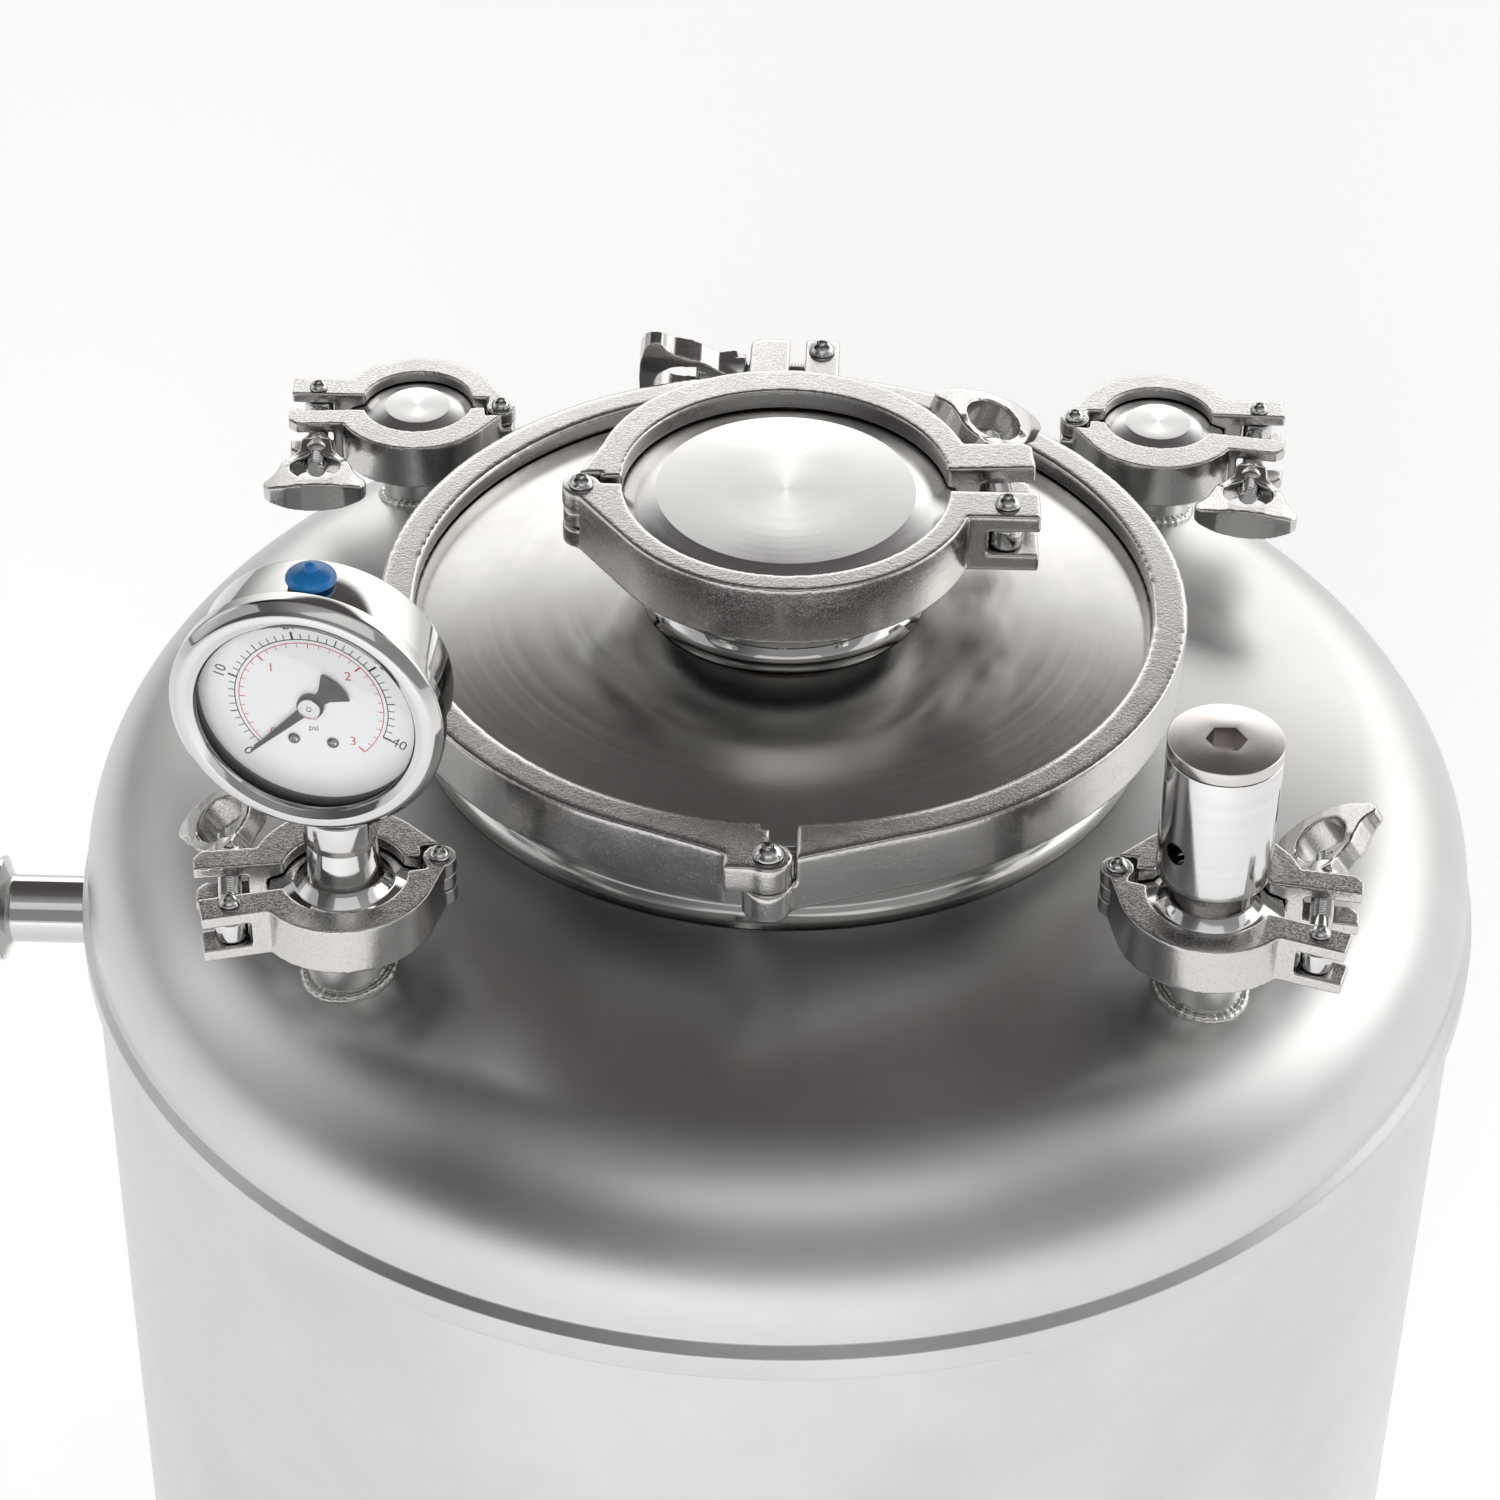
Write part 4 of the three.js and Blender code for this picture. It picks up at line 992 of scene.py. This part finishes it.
def build_clamp(name, halves, nuts):
    """One clamp: its pivot half and nut are copies, and its latch half is made for its opening."""
    c, around, opening, roll, flipped = STANDS[name]
    place = shift(*middle_of(f"{name}_gasket")) @ turn(around)
    opened, point = c.opened(opening), c.bolt_point(opening)
    pin = pin_shape(c.hinge_pin, c.hinge_pin * HINGE_HEAD, c.half + FIT)
    pieces = {
        "pivot_half": (copied(halves[c], "half"), shift()),
        "latch_half": (latch_half(c, opening), shift()),
        "swing_bolt": (shade(made("bolt", swing_bolt_shape(c, point)), 40), opened),
        "wing_nut": (copied(nuts[c], "nut"), opened @ shift(point.x, c.nut_face) @ turn(roll, "Y")),
        "hinge_pin": (shade(made("pin", pin), 40), shift(*c.hinge)),
    }
    for kind, (piece, local) in pieces.items():
        piece.name = f"{name}_clamp_{kind}"
        if flipped:
            piece.data.transform(MIRROR)
            piece.data.flip_normals()
            local = MIRROR @ local @ MIRROR
        body = f"{name}_{kind}" if kind in ("swing_bolt", "wing_nut") else "vessel"
        bright = kind in ("swing_bolt", "hinge_pin")
        metal, slot = (POLISHED, "polished_steel") if bright else (CAST, "cast_steel")
        riveted = kind == "hinge_pin" and c is PORT_CLAMP
        install(piece, place @ local, metal, slot, body, *([] if riveted else [f"{name}_clamp_{kind}"]))


def build_clamps():
    kinds = (MAIN_CLAMP, CAP_CLAMP, PORT_CLAMP)
    halves = {c: pivot_half(c) for c in kinds}
    nuts = {c: wing_nut(c) for c in kinds}
    for name in STANDS:
        build_clamp(name, halves, nuts)
    for piece in [*halves.values(), *nuts.values()]:
        bpy.data.objects.remove(piece)


# ---------------------------------------------------------------- gauge

GAUGE_TURN = -9
GAUGE_FORWARD = 18.4
GAUGE_CASE = 42
GAUGE_OFFSET = -5  # the case sits to the left of its socket
CASE_FRONT, CASE_DEPTH, CASE_WALL = 8, 24, 1.2
BEZEL_WIDTH = 9.3
DIAL_DEPTH = 10.5
PSI_RING, BAR_RING = 25.2, 23.8  # the rings that the two scales' marks stand on
INK = 0.05  # how thick the scales are printed
SWEEP = 270
FULL_BAR = 3
BAR_PER_PSI = 0.0689476


def dial_angle(bar):
    """Degrees of the pointer's turn from zero, clockwise."""
    return SWEEP * bar / FULL_BAR


def on_dial(radius, turned_by):
    """A place on the dial's face: x to the right and y up, seen from the front."""
    return on_circle(radius, math.radians(225 - turned_by))


def tick(inner, outer, width, turned_by):
    """A printed mark on the dial's face, lying in the plane of x and y."""
    bar = block((inner, outer), (-width / 2, width / 2), (0, INK))
    return moved(bar, turn(225 - turned_by))


def ink_ring(radius, width, end, steps=90):
    """A printed line round the dial from zero to the end of a scale."""
    turns = [end * i / steps for i in range(steps + 1)]
    inner, outer = ([on_dial(radius + half, t) for t in turns] for half in (-width / 2, width / 2))
    return joined(*[prism([inner[i], inner[i + 1], outer[i + 1], outer[i]], 0, INK) for i in range(steps)])


def numeral(text, size, x, y, lean, name):
    """A printed number as a thin mesh on the dial's face."""
    curve = bpy.data.curves.new(name, "FONT")
    curve.body = text
    curve.size = size * MM
    curve.align_x = "CENTER"
    curve.align_y = "CENTER"
    curve.extrude = 0.03 * MM
    curve.resolution_u = 3
    source = linked(name, curve)
    graph = bpy.context.evaluated_depsgraph_get()
    mesh = bpy.data.meshes.new_from_object(source.evaluated_get(graph))
    bpy.data.objects.remove(source)
    mesh.transform(in_metres(shift(x, y) @ turn(lean)))
    return linked(name, mesh)


def build_gauge():
    middle = PORT_MIDDLE["front_left"]
    rise = middle_of("gauge_bezel").z - middle.z
    upright = shift(*middle) @ turn(GAUGE_TURN)
    # in the dial's frame x is to the right, y is up and z comes forward, out of the dial
    facing = upright @ shift(GAUGE_OFFSET, -GAUGE_FORWARD, rise) @ turn(90, "X")
    bezel_outer = GAUGE_CASE + 3
    back = CASE_FRONT + CASE_DEPTH
    inside = GAUGE_CASE - CASE_WALL

    case = turned(eased([
        (inside, -CASE_FRONT, 0.2), (GAUGE_CASE, -CASE_FRONT, 0.2), (GAUGE_CASE, -back, 2.5), (0, -back),
        (0, -back + CASE_WALL), (inside, -back + CASE_WALL, 1.5),
    ], 0.3), 128)
    plug_y = -GAUGE_FORWARD + CASE_FRONT + CASE_DEPTH * 0.45
    plug_hole = moved(rod(5.1, 20, 60), shift(z=-GAUGE_FORWARD - plug_y) @ turn(-90, "X"))
    stem_hole = moved(rod(8.9, 20, 60), shift(-GAUGE_OFFSET, z=-GAUGE_FORWARD) @ turn(90, "X"))
    fitted("gauge_case", case, facing, POLISHED, "polished_steel", [plug_hole, stem_hole])

    inner = bezel_outer - BEZEL_WIDTH
    bezel = turned(eased([
        (inner, -2.4, 0.3), (inner + 0.6, -1.2, 0.8), (inner + 3.2, 0, 1.6), (bezel_outer - 3, -0.2, 3.2),
        (bezel_outer, -3.6, 2.2), (bezel_outer, -8.6, 0.8), (bezel_outer - 0.9, -8.8, 0.4),
        (GAUGE_CASE + FIT, -8.8, 0.2), (GAUGE_CASE + FIT, -2.8, 0.3), (inner, -2.8, 0.1),
    ], 0.5, steps=6), 160)
    fitted("gauge_bezel", bezel, facing, POLISHED, "polished_steel", angle=50)

    glass = eased([(0, -5.4), (39.6, -5.4), (39.6, -3), (0, -3)], 0.2, False)
    fitted("gauge_window", turned(glass, 96), facing, GLASS, "gauge_glass")

    # painted shade: a black ring under the window's edge that stands for the bezel's shadow and reflection
    # round the dial
    seal = made("gauge_bezel_shade_ring", turned(eased([
        (37.2, -DIAL_DEPTH + 0.1), (40.4, -DIAL_DEPTH + 0.1), (40.4, -8), (37.2, -8)], 0.4), 128))
    install(shade(seal), facing, BLACK_RUBBER, "pointer", "vessel")

    face = eased([(1.8, -1), (40.5, -1), (40.5, 0), (1.8, 0)], 0.1)
    face = [(r, z - DIAL_DEPTH) for r, z in face]
    fitted("gauge_dial", turned(face, 128), facing, DIAL_WHITE, "dial_face")
    print_dial(facing @ shift(z=-DIAL_DEPTH))
    build_pointer(facing @ shift(z=-DIAL_DEPTH))
    build_gauge_socket(upright, rise)
    build_vent_plug(upright, rise, plug_y)


def print_dial(on_face):
    """Two scales with their numbers, and the two screws that hold the dial."""
    scales = {"psi": [], "bar": []}
    scales["psi"].append(ink_ring(PSI_RING, 0.35, dial_angle(40 * BAR_PER_PSI)))
    for psi in range(41):
        major, five = psi % 10 == 0, psi % 5 == 0
        length, width = (3.0, 0.75) if major else (2.6, 0.4) if five else (2.2, 0.3)
        scales["psi"].append(tick(PSI_RING, PSI_RING + length, width, dial_angle(psi * BAR_PER_PSI)))
    scales["bar"].append(ink_ring(BAR_RING, 0.3, SWEEP))
    for tenth in range(31):
        major, five = tenth % 10 == 0, tenth % 5 == 0
        length, width = (2.6, 0.55) if major else (2.0, 0.3) if five else (1.6, 0.22)
        scales["bar"].append(tick(BAR_RING - length, BAR_RING, width, dial_angle(tenth / 10)))

    numbers = {"psi": [], "bar": []}
    for psi in (0, 10, 20, 30, 40):
        by = dial_angle(psi * BAR_PER_PSI)
        lean = (135 if psi < 35 else 225) - by
        numbers["psi"].append(numeral(str(psi), 5.2, *on_dial(30.8, by), lean, f"psi_{psi}"))
    for bar in range(4):
        x, y = on_dial(17.8 if 0 < bar < 3 else 18.6, dial_angle(bar))
        numbers["bar"].append(numeral(str(bar), 4.8, x, y, 0, f"bar_{bar}"))
    for unit, y, ink, slot in (("psi", -9.6, BLACK_INK, "pointer"), ("bar", -5.4, RED_INK, "dial_face")):
        label = numeral(unit, 3.0, 0.3, y, 0, f"{unit}_label")
        for piece in (made(f"{unit}_scale", joined(*scales[unit])), *numbers[unit], label):
            install(piece, on_face, ink, slot, "vessel")
    for side in (-1, 1):
        screw = made(f"dial_screw_{side + 2}", moved(button_head(2.2, 0, 1), shift(side * 6.4, -14.5)))
        install(shade(screw, 40), on_face, POLISHED, "polished_steel", "vessel")


def build_pointer(on_face):
    """The pointer lies at zero; its tail is a fan-shaped weight, and a bright cap covers its hub."""
    fan = [(2.0, -4), (2.6, -7), (6.2, -12.2), *arc(0, 0, 13.8, -63, -117, 8),
           (-6.2, -12.2), (-2.6, -7), (-2.0, -4)]
    blade = [(-1.9, -2), (-1.7, 4), (-0.35, 29), (0.35, 29), (1.7, 4), (1.9, -2)]
    level = shift(z=1.2)
    shape = joined(
        moved(prism(fan, 0, 0.8), level), moved(prism(blade, 0, 0.8), level),
        turned(eased([(0, 0.3), (4.4, 0.3), (4.4, 2.2), (0, 2.2)], 0.3, False), 40),
    )
    pointer = made("gauge_pointer", moved(shape, turn(135)))
    install(shade(pointer), on_face, POINTER_BLACK, "pointer", "pointer", "gauge_pointer")
    cap = made("pointer_hub", turned(eased([
        (0, 2.2), (3.7, 2.2), (3.7, 3.3), (0.8, 3.3), (0.7, 3.0), (0, 3.0)], 0.2, False), 40))
    install(shade(cap), on_face, POLISHED, "pointer", "pointer")


def build_gauge_socket(upright, rise):
    top = rise - GAUGE_CASE * 1.12
    radius, neck = 13, 8.58
    bottom = rise - GAUGE_CASE + 0.84
    profile = eased([
        (0, FACE_GAP), (PORT_FLANGE, FACE_GAP, 0.3), (PORT_FLANGE, RIM_HALF, 0.5),
        (radius + 3.5, RIM_HALF + (PORT_FLANGE - radius - 3.5) * TAPER, 2.5), (radius, RIM_HALF + 7, 3.0),
        (radius * 0.87, top - 13, 0.6), (radius * 0.87, top - 12, 0.3), (radius, top - 12, 0.6),
        (radius, top, 0.8),
        (neck, top + 1, 0.5), (neck, bottom, 0.2), (neck / 2, bottom, 0), (neck / 2, bottom + 8, 0.2),
        (0, bottom + 8),
    ], 0.3, False)
    past, flat = radius + 1, radius * 0.86
    band = (top - 12.5, top + 2)  # the two flats for a wrench
    flats = [block(xs, (-past, past), band) for xs in ((flat, past), (-past, -flat))]
    fitted("gauge_socket", turned(profile, 96), upright, POLISHED, "polished_steel", flats)


def build_vent_plug(upright, rise, plug_y):
    turns = [math.radians(a) for a in range(0, 75, 9)]
    dome = [(8.2 * math.cos(t), 1.6 + 3.4 * math.sin(t), 0) for t in turns]
    profile = eased([
        (0, -4), (4.8, -4, 0.3), (4.8, 1.2, 0.2), (8.0, 0.9, 0.3), (8.2, 1.6, 0), *dome[1:],
        (2.2, 5.0, 0.4), (1.9, 6.6, 0.8), (0, 7.6),
    ], 0.3, False)
    place = upright @ shift(GAUGE_OFFSET, plug_y, rise + GAUGE_CASE)
    fitted("gauge_vent_plug", turned(profile, 64), place, BLUE_RUBBER, "blue_rubber", angle=60)


# ---------------------------------------------------------------- relief valve

def build_relief_valve():
    middle = PORT_MIDDLE["front_right"]
    place = shift(*middle)
    radius = high_of("relief_valve_adjuster").x - middle.x
    top = high_of("relief_valve_adjuster").z - middle.z
    seam = top - 4.8
    throat, seat, bore, seat_bore = radius * 0.75, 21, 12, 6.5
    body = turned(eased([
        (seat_bore, FACE_GAP, 0.3), (PORT_FLANGE, FACE_GAP, 0.3), (PORT_FLANGE, RIM_HALF, 0.5),
        (throat + 3, RIM_HALF + (PORT_FLANGE - throat - 3) * TAPER, 2.5), (throat, RIM_HALF + 6.5, 2.5),
        (throat, seat - 4, 0.6), (radius, seat - 1, 1.2), (radius, seam - 0.15, 0.35),
        (bore, seam - 0.15, 0.3), (bore, seat, 0.3), (seat_bore, seat, 0.2),
    ], 0.3), 128)
    vent = moved(rod(4, 0, 2 * radius), shift(z=seat + 14) @ turn(131) @ ALONG_Y)
    fitted("relief_valve_body", body, place, RELIEF_STEEL, "polished_steel", [vent])

    plug = bore - FIT
    cap = made("relief_valve_adjuster", turned(eased([
        (0, seam - 10), (plug, seam - 10, 0.5), (plug, seam + 0.15, 0.2), (radius, seam + 0.15, 0.35),
        (radius, top, 0.7), (0, top),
    ], 0.3, False), 128))
    hexagon = arc(0, 0, 6 / math.cos(math.pi / 6), 0, 300, 5)
    combined(cap, [prism(hexagon, top - 9, top + 1)])
    install(shade(cap), place, VALVE_TOP, "polished_steel", "relief_adjuster", "relief_valve_adjuster")


# ---------------------------------------------------------------- nodes that keep their CAD shape

def dress_inner_nodes():
    """Hidden pieces whose plain shape is right: they only take a finish."""
    finishes = {
        "lid_gasket": SEAL, "cap_gasket": SEAL, "gauge_bourdon_tube": BRONZE,
        "relief_valve_spring": SPRING, "relief_valve_poppet": POPPET,
        **{f"{name}_gasket": SEAL for name in PORT_NAMES},
    }
    for name, material in finishes.items():
        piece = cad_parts[name]
        piece.data.materials.clear()
        piece.data.materials.append(material)


# ---------------------------------------------------------------- studio

def build_camera():
    pitch, yaw, roll = math.radians(37.75), math.radians(-0.56), math.radians(0.98)
    ahead = Vector((math.sin(yaw) * math.cos(pitch), math.cos(yaw) * math.cos(pitch), -math.sin(pitch)))
    right = ahead.cross(Vector((0, 0, 1))).normalized()
    up = right.cross(ahead)
    across = right * math.cos(roll) + up * math.sin(roll)
    above = up * math.cos(roll) - right * math.sin(roll)
    data = bpy.data.cameras.new("camera")
    data.sensor_width = 36
    data.lens = 97.26
    camera = linked("camera", data)
    facing = Matrix((across, above, -ahead)).transposed().to_4x4()
    place = Vector((0.5, -1178.7, SEAM + 972.9)) * MM
    camera.matrix_world = Matrix.Translation(place) @ facing
    bpy.context.scene.camera = camera


def area_light(name, place, aim, width, height, power):
    data = bpy.data.lights.new(name, "AREA")
    data.shape = "RECTANGLE"
    data.size, data.size_y = width, height
    data.energy = power
    light = linked(name, data)
    light.location = place
    light.rotation_euler = (Vector(aim) - Vector(place)).to_track_quat("-Z", "Y").to_euler()
    light.visible_camera = False
    return light


def build_world():
    """A white room with a darker, slightly warm ceiling, seen in the steel; plain white behind the pot."""
    world = bpy.data.worlds.new("studio")
    bpy.context.scene.world = world
    world.use_nodes = True
    tree = world.node_tree
    tree.nodes.clear()
    net = Net(tree)
    way = net.node("ShaderNodeSeparateXYZ")
    net.link(net.node("ShaderNodeTexCoord").outputs["Generated"], way.inputs[0])
    behind = net.node("ShaderNodeValToRGB")
    before = net.node("ShaderNodeValToRGB")
    height = net.spread(way.outputs["Z"], -1, 1)
    past_ceiling = [(0.0, 0.33), (0.5, 0.42), (0.64, 0.95), (0.766, 1.0), (0.797, 0.055), (0.98, 0.05),
                    (1.0, 0.06)]
    past_camera = [(0.0, 0.27), (0.5, 0.17), (0.75, 0.16), (0.92, 0.25), (0.985, 0.14), (1.0, 0.06)]
    for ramp, stops, warmth in ((behind, past_ceiling, 0.88), (before, past_camera, 1.0)):
        net.link(height, ramp.inputs["Fac"])
        marks = ramp.color_ramp.elements
        for mark, (position, level) in zip(marks, (stops[0], stops[-1])):
            mark.position = position
            mark.color = (level, level, level, 1)
        for position, level in stops[1:-1]:
            cool = warmth if level < 0.15 else 1.0
            marks.new(position).color = (level, level * cool, level * cool * 0.98, 1)
    front = net.spread(way.outputs["Y"], 0.12, -0.12)
    sky = net.blend(front, behind.outputs["Color"], before.outputs["Color"])
    left = net.spread(way.outputs["X"], -0.55, -0.18, 0.34, 1.0)
    shaded = net.node("ShaderNodeMix", data_type="RGBA", blend_type="MULTIPLY")
    shaded.inputs["Factor"].default_value = 1.0
    net.link(sky, shaded.inputs["A"])
    net.link(left, shaded.inputs["B"])
    room = net.node("ShaderNodeBackground")
    net.link(shaded.outputs["Result"], room.inputs["Color"])
    room.inputs["Strength"].default_value = 2.1
    backdrop = net.node("ShaderNodeBackground")
    backdrop.inputs["Color"].default_value = (1, 1, 1, 1)
    backdrop.inputs["Strength"].default_value = 1.0
    mix = net.node("ShaderNodeMixShader")
    net.link(net.node("ShaderNodeLightPath").outputs["Is Camera Ray"], mix.inputs[0])
    net.link(room.outputs[0], mix.inputs[1])
    net.link(backdrop.outputs[0], mix.inputs[2])
    net.link(mix.outputs[0], net.node("ShaderNodeOutputWorld").inputs[0])


def build_studio():
    floor = made("floor", turned([(0, -4), (9000, -4), (9000, -0.3), (0, -0.3)], 64))
    shader, material = finish("white floor", (0.93, 0.93, 0.93), 0.0, 0.7)[1:]
    shader.inputs["Emission Color"].default_value = (1, 1, 1, 1)
    shader.inputs["Emission Strength"].default_value = 0.43
    floor.data.materials.append(material)
    build_world()
    area_light("overhead", (0.2, -2.0, 2.7), (0, 0, 0.5), 2.4, 1.2, 4)
    area_light("left wall", (-2.6, -0.2, 1.6), (0, 0, 0.4), 2.0, 2.2, 6)
    area_light("right wall", (2.6, 0.1, 1.6), (0, 0, 0.4), 2.4, 2.4, 10)
    # lights the dial, the plug and the floor before the pot, and leaves no reflection in the steel
    fill = area_light("fill", (-0.5, -2.5, 1.5), (-0.1, -0.2, 0.5), 1.4, 1.4, 34)
    fill.visible_glossy = False
    bpy.context.scene.view_settings.view_transform = "Standard"


# ---------------------------------------------------------------- everything

build_camera()
build_vessel()
build_manhole()
build_ports()
build_side_port()
build_clamps()
build_gauge()
build_relief_valve()
dress_inner_nodes()
build_studio()
